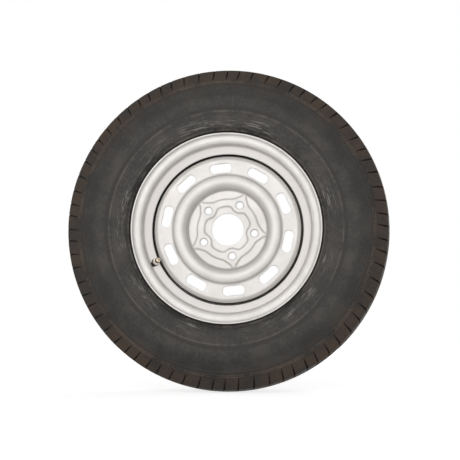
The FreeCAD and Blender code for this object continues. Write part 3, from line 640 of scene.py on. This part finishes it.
# %% The disc's section
DISC_GAUGE, EDGE_NOSE = 4.5, 0.6
HUB_MID, VENT_MID, CREST_MID = 32.25, 45.25, 55.25
HUB_FRONT, HUB_BACK = HUB_MID + DISC_GAUGE / 2, HUB_MID - DISC_GAUGE / 2
VENT_FRONT, VENT_BACK = VENT_MID + DISC_GAUGE / 2, VENT_MID - DISC_GAUGE / 2
HUB_FLAT_R, FOOT_R, EDGE_R = 77.0, 115.9, 141.0
DISC_COLUMNS = 300
dome_path = rounded_path([
    (HUB_FLAT_R, HUB_MID, 0), (82.53, HUB_MID, 3.0), (92.53, CREST_MID, 9.25), (106.08, CREST_MID, 13.25),
    (114.08, VENT_MID, 7.0), (EDGE_R, VENT_MID, 0)], bend_steps=9, longest=2.2)
edge_path = rounded_path([
    (EDGE_R, VENT_MID, 0), (149.2, VENT_MID, 8.2), (153.05, 10.0 + EDGE_NOSE, 0)], bend_steps=11)
dome_front_line = dome_path + left_of(dome_path) * DISC_GAUGE / 2
dome_back_line = dome_path - left_of(dome_path) * DISC_GAUGE / 2


def up_to_foot(line):
    """The rows of a line inside the dome's foot, and one more where the line crosses it."""
    foot_out = np.interp(FOOT_R, line[:, 0], line[:, 1])
    return np.concatenate([line[line[:, 0] < FOOT_R - 0.05], [(FOOT_R, foot_out)]])


def line_out(line, flat):
    """How far out a line lies over flat places, by their distance from the axle."""
    return np.interp(np.hypot(flat[..., 0], flat[..., 1]), line[:, 0], line[:, 1])


print("dome:", len(dome_path), "rows, crest", round(dome_front_line[:, 1].max(), 2), "mm out")

# %% The stud band
STUD_COUNT, STUD_TURN, STUD_RING_R = 5, math.radians(63.5), 56.0
BAND_RISE, BAND_MIDDLE, BAND_HALF = 3.0, 55.75, 8.0
LOBE_R, TIP_R, TIP_HALF, TIP_POWER = 16.6, 95.0, 15.0, 1.5
LOBE_BLEND, POINT_BLEND = 7.0, 5.0
# Where the band's slope and the hollow's slope behind it start, outside the band, and how wide they are.
SLOPE_FOOT, SLOPE_WIDE, HOLLOW_FOOT, HOLLOW_WIDE = 1.2, 4.0, -2.4, 3.0


def soft_union(first, second, reach):
    """The smaller of two distances, rounded where they are within reach of each other."""
    near = np.maximum(reach - np.abs(first - second), 0) / reach
    return np.minimum(first, second) - near ** 2 * reach / 4


def band_distance(x, z):
    """Distance outside the stud band, negative inside: a ring, and a lobe and a point at each stud."""
    sector = TURN / STUD_COUNT
    away = np.hypot(x, z)
    turn = (np.arctan2(z, x) - STUD_TURN + sector / 2) % sector - sector / 2
    along, across = away * np.cos(turn), np.abs(away * np.sin(turn))
    ring = np.abs(away - BAND_MIDDLE) - BAND_HALF
    lobe = np.hypot(along - STUD_RING_R, across) - LOBE_R
    left = np.clip((TIP_R - along) / (TIP_R - STUD_RING_R), 0, 1)
    point = np.maximum(across - TIP_HALF * left ** TIP_POWER, STUD_RING_R - along) * 0.85
    return soft_union(soft_union(ring, lobe, LOBE_BLEND), point, POINT_BLEND)


def smooth(share):
    """A soft step from 0 to 1: 3t^2 - 2t^3."""
    t = np.clip(share, 0, 1)
    return t * t * (3 - 2 * t)


def band_front(x, z):
    """How far out the hub's front lies: the flat face, and the band over a slope about 4 mm wide."""
    return HUB_FRONT + BAND_RISE * smooth((SLOPE_FOOT - band_distance(x, z)) / SLOPE_WIDE)


def band_back(x, z):
    """The hub's back, with a hollow that is narrower than the band by its wall and gone before the dome."""
    hollow = smooth((HOLLOW_FOOT - band_distance(x, z)) / HOLLOW_WIDE)
    return HUB_BACK + BAND_RISE * hollow * smooth((HUB_FLAT_R - 0.5 - np.hypot(x, z)) / 4.0)


print("stud band:", round(float(band_distance(0.0, 0.0)), 2), "mm from the axle to its nearest edge")

# %% Grids round the holes
def sector_edge(inner_r, outer_r, half_turn, counts):
    """The closed outline of a ring's sector about angle 0: outer arc, side, inner arc, side, as x and z."""
    corner_r = (outer_r, outer_r, inner_r, inner_r, outer_r)
    corner_turn = (-half_turn, half_turn, half_turn, -half_turn, -half_turn)
    radius, angle = (np.concatenate([
        np.linspace(start, end, count + 1)[:-1] for start, end, count in zip(corner, corner[1:], counts)])
        for corner in (corner_r, corner_turn))
    return np.stack([radius * np.cos(angle), radius * np.sin(angle)], axis=1)


def rays(outline, middle, hole, shares):
    """Points on rays to a hole's middle, from a sector's outline (share 0) to the hole's edge (share 1)."""
    ray = outline - middle
    reach = np.linalg.norm(ray, axis=1)[:, None]
    away = reach + (hole[:, None] - reach) * shares[None, :]
    return middle + unit(ray)[:, None, :] * away[:, :, None]


def holed_sector(turn, outline, middle, hole, wall, row_counts, front_out, back_out):
    """A sector with its hole, turned about the axle: over the front, down the hole's wall, back behind.

    The wall lists (offset from the hole's edge, out), and shifts with the front that it starts from.
    """
    front_shares, back_shares = (np.linspace(0, 1, count) for count in row_counts)
    shares = [front_shares] + [np.ones(1)] * (len(wall) - 2) + [back_shares[::-1]]
    spin = np.array([[math.cos(turn), math.sin(turn)], [-math.sin(turn), math.cos(turn)]])
    flats = [rays(outline, middle, hole + offset, share) @ spin for (offset, _), share in zip(wall, shares)]
    outs = [front_out(flat) + out - wall[0][1] for flat, (_, out) in zip(flats[:-1], wall)]
    flat, out = np.concatenate(flats, axis=1), np.concatenate(outs + [back_out(flats[-1])], axis=1)
    return np.stack([flat[..., 0], -out, flat[..., 1]], axis=-1) * MM, True, False


# %% Hub face with stud holes
BORE_R, BORE_LAND_R = 33.25, 34.3
BORE_COLUMNS = 24
HUB_COUNTS = (DISC_COLUMNS // STUD_COUNT, 34, BORE_COLUMNS, 34)
HUB_ROWS = (30, 10)
LOBE_TOP, LOBE_UNDER = HUB_FRONT + BAND_RISE, HUB_BACK + BAND_RISE
STUD_HOLE_R, SEAT_R, SEAT_DEEP = 7.0, 8.73, 3.0
STUD_WALL = ((SEAT_R + 0.35 - STUD_HOLE_R, LOBE_TOP), (SEAT_R - STUD_HOLE_R - 0.1, LOBE_TOP - 0.35),
             (0.0, LOBE_TOP - SEAT_DEEP), (0.0, LOBE_UNDER + 0.3), (0.3, LOBE_UNDER))
hub_edge = sector_edge(BORE_LAND_R, HUB_FLAT_R, np.pi / STUD_COUNT, HUB_COUNTS)
disc_grids = [holed_sector(
    STUD_TURN + index * TURN / STUD_COUNT, hub_edge, np.array([STUD_RING_R, 0.0]),
    np.full(len(hub_edge), STUD_HOLE_R), STUD_WALL, HUB_ROWS,
    lambda flat: band_front(flat[..., 0], flat[..., 1]), lambda flat: band_back(flat[..., 0], flat[..., 1]))
    for index in range(STUD_COUNT)]
print("hub face:", len(disc_grids), "sectors, each of", disc_grids[0][0].shape[:2], "points")

# %% Vent slots
VENT_COUNT, VENT_TURN, VENT_R = 10, math.radians(24.0), 127.0
VENT_HALF_TALL, VENT_HALF_LONG, VENT_ROUND = 9.5, 22.5, 8.1
VENT_COUNTS = (DISC_COLUMNS // VENT_COUNT, 14, DISC_COLUMNS // VENT_COUNT, 14)
VENT_ROWS = (6, 4)
VENT_WALL = ((1.3, VENT_FRONT), (0.55, VENT_FRONT - 0.2), (0.1, VENT_FRONT - 0.75), (0.0, VENT_FRONT - 1.6),
             (0.0, VENT_BACK + 0.2), (0.2, VENT_BACK))
vent_edge = sector_edge(FOOT_R, EDGE_R, np.pi / VENT_COUNT, VENT_COUNTS)
vent_middle = np.array([VENT_R, 0.0])


def slot_reach(outline, middle):
    """Distance from a slot's middle to its edge along each ray: to a flat side, or to a corner's circle."""
    way = np.abs(unit(outline - middle))
    half = np.array([VENT_HALF_TALL, VENT_HALF_LONG])
    flat = (half / np.maximum(way, 1e-9)).min(axis=1)
    corner = half - VENT_ROUND
    beside = way[:, 0] * corner[1] - way[:, 1] * corner[0]
    bend = way @ corner + np.sqrt(np.maximum(VENT_ROUND ** 2 - beside ** 2, 0))
    in_corner = (way * flat[:, None] > corner).all(axis=1)
    return np.where(in_corner, bend, flat)


# Near the dome the ring follows the bend at its foot.
disc_grids += [holed_sector(
    VENT_TURN + index * TURN / VENT_COUNT, vent_edge, vent_middle, slot_reach(vent_edge, vent_middle),
    VENT_WALL, VENT_ROWS,
    lambda flat: line_out(dome_front_line, flat), lambda flat: line_out(dome_back_line, flat))
    for index in range(VENT_COUNT)]
print("vent ring:", VENT_COUNT, "sectors, each of", disc_grids[-1][0].shape[:2], "points")

# %% Bore, dome and edge
# Studs and vents start at unlike angles, so the columns turn on by part of a step between hub and vent ring.
VENT_DRIFT = (VENT_TURN + np.pi / VENT_COUNT - STUD_TURN - np.pi / STUD_COUNT) % (TURN / DISC_COLUMNS)


def disc_turned(rows, count=DISC_COLUMNS, drift=0.0):
    """Rows carried round in columns that meet the corners of the hub's sectors, turned on by a drift."""
    return turned(rows[:, 0], rows[:, 1], STUD_TURN + np.pi / STUD_COUNT + full_turn(count) + drift)


def dome_turned(line):
    """One side of the dome carried round, its columns drifting from the studs' places to the vents'."""
    rows = up_to_foot(line)
    return disc_turned(rows, drift=VENT_DRIFT * (rows[:, 0] - HUB_FLAT_R) / (FOOT_R - HUB_FLAT_R))


# The band's points run up on the dome's outer side, so each point takes the higher of the two.
dome_front = dome_turned(dome_front_line)
band_y = -MM * band_front(dome_front[..., 0] / MM, dome_front[..., 2] / MM)
dome_front[..., 1] = np.minimum(dome_front[..., 1], band_y)
bore_rows = np.array([
    (BORE_LAND_R, HUB_FRONT), (BORE_R + 0.3, HUB_FRONT - 0.12), (BORE_R, HUB_FRONT - 0.5),
    (BORE_R, HUB_BACK + 0.5), (BORE_R + 0.3, HUB_BACK + 0.12), (BORE_LAND_R, HUB_BACK)])
edge_side = left_of(edge_path) * DISC_GAUGE / 2
edge_nose = round_nose(edge_path[-1:], edge_side[-1:], np.array([[0.0, -EDGE_NOSE]]))
edge_rows = np.concatenate([edge_path + edge_side, edge_nose, (edge_path - edge_side)[::-1]])
rings = (disc_turned(bore_rows, BORE_COLUMNS * STUD_COUNT), dome_front, dome_turned(dome_back_line),
         disc_turned(edge_rows, drift=VENT_DRIFT))
disc_grids += [(ring, True, False) for ring in rings]
print("disc:", len(disc_grids), "grids")

# %% Build the disc
SHADE_MIDDLE, SHADE_WIDE = 0.6, 1.7
disc = make_piece("pressed_disc", disc_grids, sharp=40.0, weld=0.02)


def near_band_foot(points):
    """How near front points lie to the foot of the stud band: a bell curve of the distance, 1.7 mm wide."""
    x, y, z = points.T
    front = (-y > HUB_MID) & (np.hypot(x, z) < HUB_FLAT_R + 4)
    return front * np.exp(-((band_distance(x, z) - SHADE_MIDDLE) / SHADE_WIDE) ** 2)


# Painted shade: the paint is greyed along the foot of the stud band.
mark_points(disc, "band_foot_shade", near_band_foot)
finish_piece(disc, WHEEL_PAINT, "wheel", "wheel_disc")

# %% [markdown]
# ## Weld runs
#
# Five runs of weld hold the disc in the rim, in the corner behind its edge. A weld bead is a chain of
# frozen ripples, each a few millimetres long, so its round section swells and shrinks along the run and
# fades at both ends.

# %% Welds
WELD_COUNT, WELD_TURN, WELD_LEG = 5, math.radians(42.0), 4.0
WELD_CORNER_R, WELD_FOOT = 155.25, 10.0
RIPPLE, WELD_FADE = 2.6, 4.0


def weld_run(index):
    """A bead along an arc: a circle that touches both sides of the corner, rippling every 2.6 mm."""
    share = np.linspace(0, 1, 150)[:, None]
    around = full_turn(14).T
    length = WELD_CORNER_R * WELD_TURN
    ends = np.clip(np.minimum(share, 1 - share) * length / WELD_FADE, 0.03, 1) ** 0.5
    ripple = 0.86 + 0.09 * np.abs(np.sin(np.pi * share * length / RIPPLE))
    bead_r = WELD_LEG * ends * ripple * 0.5
    radius = WELD_CORNER_R - bead_r * (1 + np.cos(around))
    out = WELD_FOOT - bead_r * (1 + np.sin(around))
    return pinched(turned(radius, out, index * TURN / WELD_COUNT - WELD_TURN * share)), False, True


welds = make_piece("weld_runs", [weld_run(index) for index in range(WELD_COUNT)], sharp=70.0)
finish_piece(welds, WHEEL_PAINT, "wheel", "disc_weld_beads")

# %% [markdown]
# ## The valve
#
# A clamp-in valve is a turned brass stem with a rubber seal through the rim, a washer and a nut outside.
# Inside it sits the core: a barrel, a seal ring, and a pin that a spring pulls shut. All of them were
# made on a lathe or in a round mould, so each is a section turned about the valve's own leaning axis. The
# hexagon of the nut and the threads are that section made to change with the angle.

# %% The valve's axis
VALVE_TURN = math.radians(204.5)
VALVE_R, VALVE_OUT = 164.848, 45.847
LEAN_IN, LEAN_OUT = -0.55064, 0.83474
VALVE_COLUMNS = 48


def on_valve(radius, height, angle):
    """Points about the valve's axis: radius cos(angle) across, radius sin(angle) aside, height along it."""
    radius, height, angle = np.broadcast_arrays(radius, height, angle)
    across, aside = radius * np.cos(angle), radius * np.sin(angle)
    from_axle = VALVE_R + across * LEAN_OUT + height * LEAN_IN
    out = VALVE_OUT - across * LEAN_IN + height * LEAN_OUT
    x = from_axle * np.cos(VALVE_TURN) - aside * np.sin(VALVE_TURN)
    z = from_axle * np.sin(VALVE_TURN) + aside * np.cos(VALVE_TURN)
    return np.stack([x, -out, z], axis=-1) * MM


def from_valve(points):
    """Distance of points from the valve's axis and height along it, in millimetres."""
    foot, head = on_valve(0.0, 0.0, 0.0) / MM, on_valve(0.0, 1.0, 0.0) / MM
    height = (points - foot) @ (head - foot)
    return np.sqrt(np.maximum(((points - foot) ** 2).sum(axis=1) - height ** 2, 0)), height


def lathe_path(corners, longest=2.5):
    """A path with small bends, for a section of (radius, height)."""
    return rounded_path(corners, bend_steps=4, longest=longest)


def closed_section(corners, bend):
    """A closed section with round corners: a path that starts and ends half way along the first side."""
    loop = np.array(corners, float)
    start = (loop[:1] + loop[1:2]) / 2
    walk = np.concatenate([start, loop[1:], loop[:1], start])
    return lathe_path(np.hstack([walk, np.full((len(walk), 1), bend)]), longest=1.5)[:-1]


def lathe_piece(name, section, closed=True, sharp=35.0):
    """A section (radius, height) turned about the valve's axis; an open one starts and ends on the axis."""
    grid = on_valve(section[:, 0], section[:, 1], full_turn(VALVE_COLUMNS))
    return make_piece(name, [(grid, True, closed)], sharp=sharp)


# %% Valve hole in the rim
HOLE_R, PUNCH_LOW, PUNCH_HIGH = 5.75, -7.0, 4.0


def cut_from(piece, cutter):
    """Cut one closed mesh out of another with a boolean, keep the result and drop the cutter."""
    cut = piece.modifiers.new("cut", "BOOLEAN")
    cut.operation = "DIFFERENCE"
    cut.solver = "EXACT"
    cut.object = cutter
    seen = piece.evaluated_get(bpy.context.evaluated_depsgraph_get())
    cut_mesh = bpy.data.meshes.new_from_object(seen)
    piece.modifiers.clear()
    piece.data = cut_mesh
    bpy.data.objects.remove(cutter)


punch_line = np.array([(0.0, PUNCH_LOW), (HOLE_R, PUNCH_LOW), (HOLE_R, PUNCH_HIGH), (0.0, PUNCH_HIGH)])
cut_from(rim, lathe_piece("valve_hole_punch", punch_line, closed=False))
print("rim with valve hole:", len(rim.data.polygons), "faces")

# %% [markdown]
# ## Finishes of the valve
#
# Brass that is nickel plated looks like warm, slightly grey silver, and turning leaves fine rings on it.
# Bare brass keeps its yellow. Moulded seal rubber is blacker and smoother than tyre rubber. The core's
# seal is a red fluoropolymer, smooth and waxy, and the spring is drawn steel wire. They differ in colour,
# metalness and roughness but share one pattern of fine grain and smudges, so one function makes them all.

# %% Finishes
def small_finish(name, light, dark, metal, roughness, grain_mm, grain_bump):
    """A finish of a small piece: two close colours in smudges, uneven gloss and a grain of a given size."""
    material, tree = new_material(name)
    point = add_node(tree, "TexCoord", take="Object")
    # Smudges are about 3 mm across, so that several lie on each piece.
    smudge = add_node(tree, "TexNoise", {"Vector": point, "Scale": 330.0, "Detail": 4.0, "Roughness": 0.65})
    spread = add_node(tree, "MapRange", {"Value": smudge, "From Min": 0.35, "From Max": 0.68})
    # Where a piece stores painted shade, the finish is painted dark brown.
    painted_shade = add_node(tree, "Attribute", take="Fac", attribute_name="painted_shade")
    colour = coated(tree, paint(light), [(spread, dark), (painted_shade, "#33251D")])
    gloss = add_node(tree, "MapRange", {
        "Value": smudge, "To Min": roughness - 0.08, "To Max": roughness + 0.12})
    grained(tree, point, (1000.0 / grain_mm, 2.0), grain_bump, grain_mm * MM * 0.3, {
        "Base Color": colour, "Metallic": metal, "Roughness": gloss})
    return material


# Nickel on turned brass: warm silver with a soft shine. Turning marks of 0.1 mm are drawn at 0.4 mm.
PLATED_BRASS = small_finish("nickel_plated_brass", "#F2EADD", "#D8CDBD", 1.0, 0.36, 0.4, 0.12)
# Bare turned brass: yellow, brighter where it was cut last.
TURNED_BRASS = small_finish("turned_brass", "#EADBBB", "#CDB88F", 1.0, 0.34, 0.4, 0.10)
# Moulded rubber: almost black, dull, with a fine skin.
SEAL_RUBBER = small_finish("moulded_seal_rubber", "#242322", "#343230", 0.0, 0.62, 0.6, 0.20)
# Moulded fluoropolymer: red, waxy.
SEAL_PLASTIC = small_finish("moulded_fluoropolymer", "#B5332A", "#9C2A24", 0.0, 0.42, 0.8, 0.06)
# Drawn spring wire: grey steel with fine draw marks.
SPRING_WIRE = small_finish("drawn_spring_steel", "#B4B4B6", "#8B8B8E", 1.0, 0.34, 0.3, 0.10)

# %% Stem with its threads
STEM_R, STEM_FOOT_R, CAP_THREAD_R = 4.1, 7.0, 3.85
THREAD_PITCH, THREAD_DEEP, THREAD_FADE, THREAD_ROWS = 0.8, 0.42, 0.8, 0.1
THREADS = ((6.4, 13.8), (14.2, 21.6))
THREAD_LEAST_R = 3.5
SHADE_LOW, SHADE_HIGH, SHADE_FADE = 5.0, 18.2, 0.8


def between(height, low, high, fade):
    """1 between two heights, with a soft step of a given length inside each end."""
    return smooth((height - low) / fade) * smooth((high - height) / fade)


def thread_cut(height, angle):
    """Depth of the thread: a triangle wave of height / pitch - angle / turn, faded at each run's ends."""
    phase = (height / THREAD_PITCH - angle / TURN) % 1.0
    return THREAD_DEEP * np.abs(2 * phase - 1) * sum(between(height, *run, THREAD_FADE) for run in THREADS)


stem_outside = np.concatenate([run[:-1] for run in (
    lathe_path([(1.7, -6.0, 0), (1.7, -7.7, 0.2), (STEM_FOOT_R, -7.7, 0.7), (STEM_FOOT_R, -5.2, 0.5),
                (STEM_R, -5.2, 0.3), (STEM_R, 5.0, 0)]),
    filled_in(np.array([(STEM_R, 5.0), (STEM_R, 13.0)]), THREAD_ROWS),
    lathe_path([(STEM_R, 13.0, 0), (STEM_R, 13.6, 0.4), (CAP_THREAD_R, 14.0, 0.4), (CAP_THREAD_R, 14.4, 0)]),
    filled_in(np.array([(CAP_THREAD_R, 14.4), (CAP_THREAD_R, 21.4)]), THREAD_ROWS))])
stem_inside = lathe_path([
    (CAP_THREAD_R, 21.4, 0), (CAP_THREAD_R - 0.45, 22.0, 0.15), (2.7, 22.0, 0.3), (2.7, 0.0, 0.2),
    (1.7, 0.0, 0.2), (1.7, -6.0, 0)])[:-1]
stem_turn = full_turn(VALVE_COLUMNS)
stem_r, stem_height = np.concatenate([stem_outside, stem_inside]).T
threaded = (np.arange(len(stem_r)) < len(stem_outside)) & (stem_r > THREAD_LEAST_R)
stem_grid = on_valve(stem_r - thread_cut(stem_height, stem_turn) * threaded, stem_height, stem_turn)
stem = make_piece("valve_stem_turned", [(stem_grid, True, True)], sharp=50.0)
finish_piece(stem, PLATED_BRASS, "wheel", "valve_stem")
# Painted shade: the thread is painted dark brown from the nut up to where a cap would cover it.
mark_points(stem, "painted_shade", lambda points: between(from_valve(points)[1], SHADE_LOW, SHADE_HIGH, SHADE_FADE))

# %% Nut
NUT_FLATS, NUT_LOW, NUT_HIGH, NUT_FACE_R = 12.0, 7.2, 13.2, 5.75
NUT_BORE_R, NUT_BEVEL = 4.15, 0.4
NUT_COLUMNS = 96
NUT_SHADE_R, NUT_SHADE_FADE = 5.5, 0.6


def nut_rows(angle):
    """Rows of the nut at each angle: a cone from the lower face to the hexagon, its flat, a cone, the bore.

    The hexagon lies half the flats / cos(angle from the flat's middle) from the axis. The cones lean 30
    degrees from the faces, so they reach it (hexagon - face radius) / tan(60 degrees) from each face.
    """
    from_flat = (angle + np.pi / 6) % (np.pi / 3) - np.pi / 6
    hexagon = NUT_FLATS / 2 / np.cos(from_flat)
    bevel = (hexagon - NUT_FACE_R) / math.tan(math.radians(60))
    wide = NUT_BORE_R + NUT_BEVEL
    radius = (NUT_FACE_R, hexagon, hexagon, NUT_FACE_R, wide, NUT_BORE_R, NUT_BORE_R, wide)
    height = (NUT_LOW, NUT_LOW + bevel, NUT_HIGH - bevel, NUT_HIGH,
              NUT_HIGH, NUT_HIGH - NUT_BEVEL, NUT_LOW + NUT_BEVEL, NUT_LOW)
    return (np.hstack([np.broadcast_to(row, angle.shape) for row in rows]) for rows in (radius, height))


nut_turn = full_turn(NUT_COLUMNS)
nut = make_piece("valve_nut_hexagon", [(on_valve(*nut_rows(nut_turn), nut_turn), True, True)], sharp=25.0)
finish_piece(nut, PLATED_BRASS, "wheel", "valve_nut")
# Painted shade: the nut is painted dark brown within 5.5 mm of the valve's axis, round its bore.
mark_points(nut, "painted_shade", lambda points: smooth((NUT_SHADE_R - from_valve(points)[0]) / NUT_SHADE_FADE))

# %% Washer and seals
# Each row: piece, section, bend of its corners, sharp angle, finish, slot, body and node.
ROUND_PIECES = (
    ("valve_washer_plain", [(4.2, 6.0), (6.6, 6.0), (6.6, 7.2), (4.2, 7.2)], 0.3, 35.0,
     PLATED_BRASS, "plated_brass", "wheel", "valve_washer"),
    ("valve_grommet_moulded", [
        (4.15, -5.2), (7.0, -5.2), (7.0, -3.15), (5.6, -3.15), (5.6, 0.15), (7.8, 0.15),
        (6.6, 6.0), (4.15, 6.0)], 0.6, 50.0,
     SEAL_RUBBER, "black_rubber", "wheel", "valve_grommet"),
    ("core_gasket_ring", [(2.25, 5.0), (2.65, 5.6), (2.65, 7.4), (2.25, 8.0)], 0.1, 35.0,
     SEAL_PLASTIC, "seal_plastic", "wheel", "core_gasket"),
    ("core_seal_ring", [(0.65, 3.35), (2.0, 3.35), (2.0, 3.95), (0.65, 3.95)], 0.15, 35.0,
     SEAL_RUBBER, "black_rubber", "pin", "core_seal"))
for name, corners, bend, sharp, finish, slot, body, node in ROUND_PIECES:
    finish_piece(lathe_piece(name, closed_section(corners, bend), sharp=sharp), finish, body, node)

# %% Core
# The barrel's head has two flats for the key that screws it in, which fade in just below it.
CORE_FLATS, CORE_WAIST_R, HEAD_LOW, HEAD_FADE = 3.4, 1.95, 17.6, 0.3
core_turn = full_turn(VALVE_COLUMNS)
core_r, core_height = closed_section([
    (0.95, 4.0), (2.2, 4.0), (2.2, 8.0), (2.65, 8.0), (2.65, 21.0), (1.75, 21.0), (1.75, 6.5),
    (0.95, 6.5)], 0.12).T
flat_r = np.maximum(CORE_FLATS / 2 / np.maximum(np.abs(np.cos(core_turn)), 0.2), CORE_WAIST_R)
flat_r = flat_r + 2.0 * (1 - smooth((core_height - HEAD_LOW) / HEAD_FADE))
core_r = np.where(core_r > 2.0, np.minimum(core_r, flat_r), core_r)
core = make_piece("core_barrel", [(on_valve(core_r, core_height, core_turn), True, True)], sharp=35.0)
finish_piece(core, TURNED_BRASS, "wheel", "core_body")
pin = lathe_piece("core_pin_turned", lathe_path([
    (0.0, 2.1, 0), (2.0, 2.1, 0.25), (2.0, 3.3, 0.15), (0.6, 3.3, 0.15), (0.6, 17.0, 0.15),
    (1.65, 17.0, 0.2), (1.65, 18.0, 0.3), (0.6, 18.0, 0.15), (0.6, 21.5, 0.35), (0.0, 21.5, 0)]),
    closed=False)
finish_piece(pin, TURNED_BRASS, "pin", "core_pin")

# %% [markdown]
# ## The core's spring
#
# The spring is a wire wound in four open turns between the barrel's shoulder and the pin's collar.

# %% Spring
WIRE_R, COIL_R, COIL_TURNS = 0.175, 1.25, 4.0
COIL_LOW, COIL_HIGH = 6.55, 16.95


def wound_wire():
    """A wire along a helix: angle = turns * share, an even rise, and the wire's circle round it."""
    share = np.linspace(0, 1, 241)[:, None]
    around = full_turn(8).T
    rise = (COIL_HIGH - COIL_LOW) - 2 * WIRE_R
    height = COIL_LOW + WIRE_R + rise * share + WIRE_R * np.sin(around)
    return pinched(on_valve(COIL_R + WIRE_R * np.cos(around), height, COIL_TURNS * TURN * share))


spring = make_piece("core_spring_wire", [(wound_wire(), False, True)], sharp=60.0)
finish_piece(spring, SPRING_WIRE, "wheel", "core_spring")
foot, head = (on_valve(0.0, height, 0.0) for height in (COIL_LOW, COIL_HIGH))
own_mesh(spring)

# %% [markdown]
# ## Camera, light and floor
#
# The photograph looks almost straight at the outer face from about two metres, a little from the right
# and a little from below, which a long lens gives. The light is soft and mostly frontal: one large lamp
# over the camera, wider than it is tall, a weaker one behind the wheel for its back, and an even pale
# world that fills the shadows. A floor in plain white carries the wheel's shadow, and rays from the
# camera see it and the world as white paper.

# %% Camera
FRAME_PIXELS, FOCAL_PIXELS = 460, 957.0


def aim(thing, place, target):
    """Put a camera or lamp in its place and turn it towards a target."""
    thing.location = place
    thing.rotation_euler = (Vector(target) - thing.location).to_track_quat("-Z", "Y").to_euler()


camera = add_object("camera", bpy.data.cameras.new("camera"))
bpy.context.scene.camera = camera
camera.data.sensor_width = 36.0
camera.data.lens = camera.data.sensor_width * FOCAL_PIXELS / FRAME_PIXELS
aim(camera, (0.166, -2.0, -0.196), (0.0019, 0.0, 0.0026))
print("camera:", tuple(round(v, 3) for v in camera.location), "lens", round(camera.data.lens, 1), "mm")

# %% World and lamps
FILL = 0.05
WHITE = (1, 1, 1, 1)


def seen_directly(tree):
    """1 for rays that look at the backdrop: from the camera, a mirror or glass."""
    direct = add_node(tree, "LightPath", take="Is Camera Ray")
    paths = direct.node.outputs
    for kind in ("Is Glossy Ray", "Is Transmission Ray"):
        direct = add_node(tree, "Math", {0: direct, 1: paths[kind]}, operation="MAXIMUM")
    return direct


def soft_lamp(name, place, watts, wide, tall):
    """An oval area lamp that is turned towards the wheel's middle."""
    lamp = add_object(name, bpy.data.lights.new(name, "AREA"))
    lamp.data.shape = "ELLIPSE"
    lamp.data.size = wide
    lamp.data.size_y = tall
    lamp.data.energy = watts
    aim(lamp, place, (0.0, 0.0, 0.0))
    print("light:", name, watts, "W")


world = bpy.data.worlds.new("white_tent")
world.use_nodes = True
bpy.context.scene.world = world
tent = world.node_tree
tent.nodes.clear()
white = add_node(tent, "Background", {"Color": WHITE, "Strength": 1.0})
fill = add_node(tent, "Background", {"Color": WHITE, "Strength": FILL})
shown = add_node(tent, "MixShader", {0: seen_directly(tent), 1: fill, 2: white})
add_node(tent, "OutputWorld", {"Surface": shown})
soft_lamp("front_lamp", (-0.15, -2.85, 0.38), 91.0, wide=4.8, tall=2.4)
soft_lamp("rear_lamp", (0.9, 2.8, 1.3), 45.0, wide=3.4, tall=3.4)

# %% Floor
FLOOR_HALF = 12.0
NEAR_GLOW, FAR_GLOW = 0.78, 0.97


def paper_floor():
    """White paper: a pale diffuse sheet. Seen directly it also glows, more where the lamp's light ends."""
    material, tree = new_material("white_paper_floor")
    point = add_node(tree, "TexCoord", take="Object")
    # Real fibres are far below a pixel, so the sheet's unevenness is drawn some 17 mm across.
    fibre = add_node(tree, "TexNoise", {"Vector": point, "Scale": 60.0, "Detail": 3.0})
    sheet = add_node(tree, "BsdfDiffuse", {"Color": coated(tree, paint("#F0F0F0"), [(fibre, "#F6F6F6")])})
    away = add_node(tree, "VectorMath", {0: point}, operation="LENGTH")
    strength = add_node(tree, "MapRange", {
        "Value": away, "From Min": 0.5, "From Max": 2.0, "To Min": NEAR_GLOW, "To Max": FAR_GLOW})
    pale = add_node(tree, "BsdfDiffuse", {"Color": paint("#DADADA")})
    glow = add_node(tree, "Emission", {"Color": WHITE, "Strength": strength})
    lit = add_node(tree, "AddShader", {0: pale, 1: glow})
    mixed = add_node(tree, "MixShader", {0: seen_directly(tree), 1: sheet, 2: lit})
    add_node(tree, "OutputMaterial", {"Surface": mixed})
    return material


floor_level = float(cad_low[2])
corner_ways = ((-1, -1), (1, -1), (1, 1), (-1, 1))
floor_corners = [(x * FLOOR_HALF, y * FLOOR_HALF, floor_level) for x, y in corner_ways]
floor = add_object("floor", bpy.data.meshes.new("floor"))
floor.data.from_pydata(floor_corners, [], [(0, 1, 2, 3)])
floor.data.materials.append(paper_floor())
print("floor at", round(floor_level, 4), "m")

# %% [markdown]
# ## View
#
# The view transform is Standard, so that a colour shows as it is written.

# %% View
bpy.context.scene.view_settings.view_transform = "Standard"
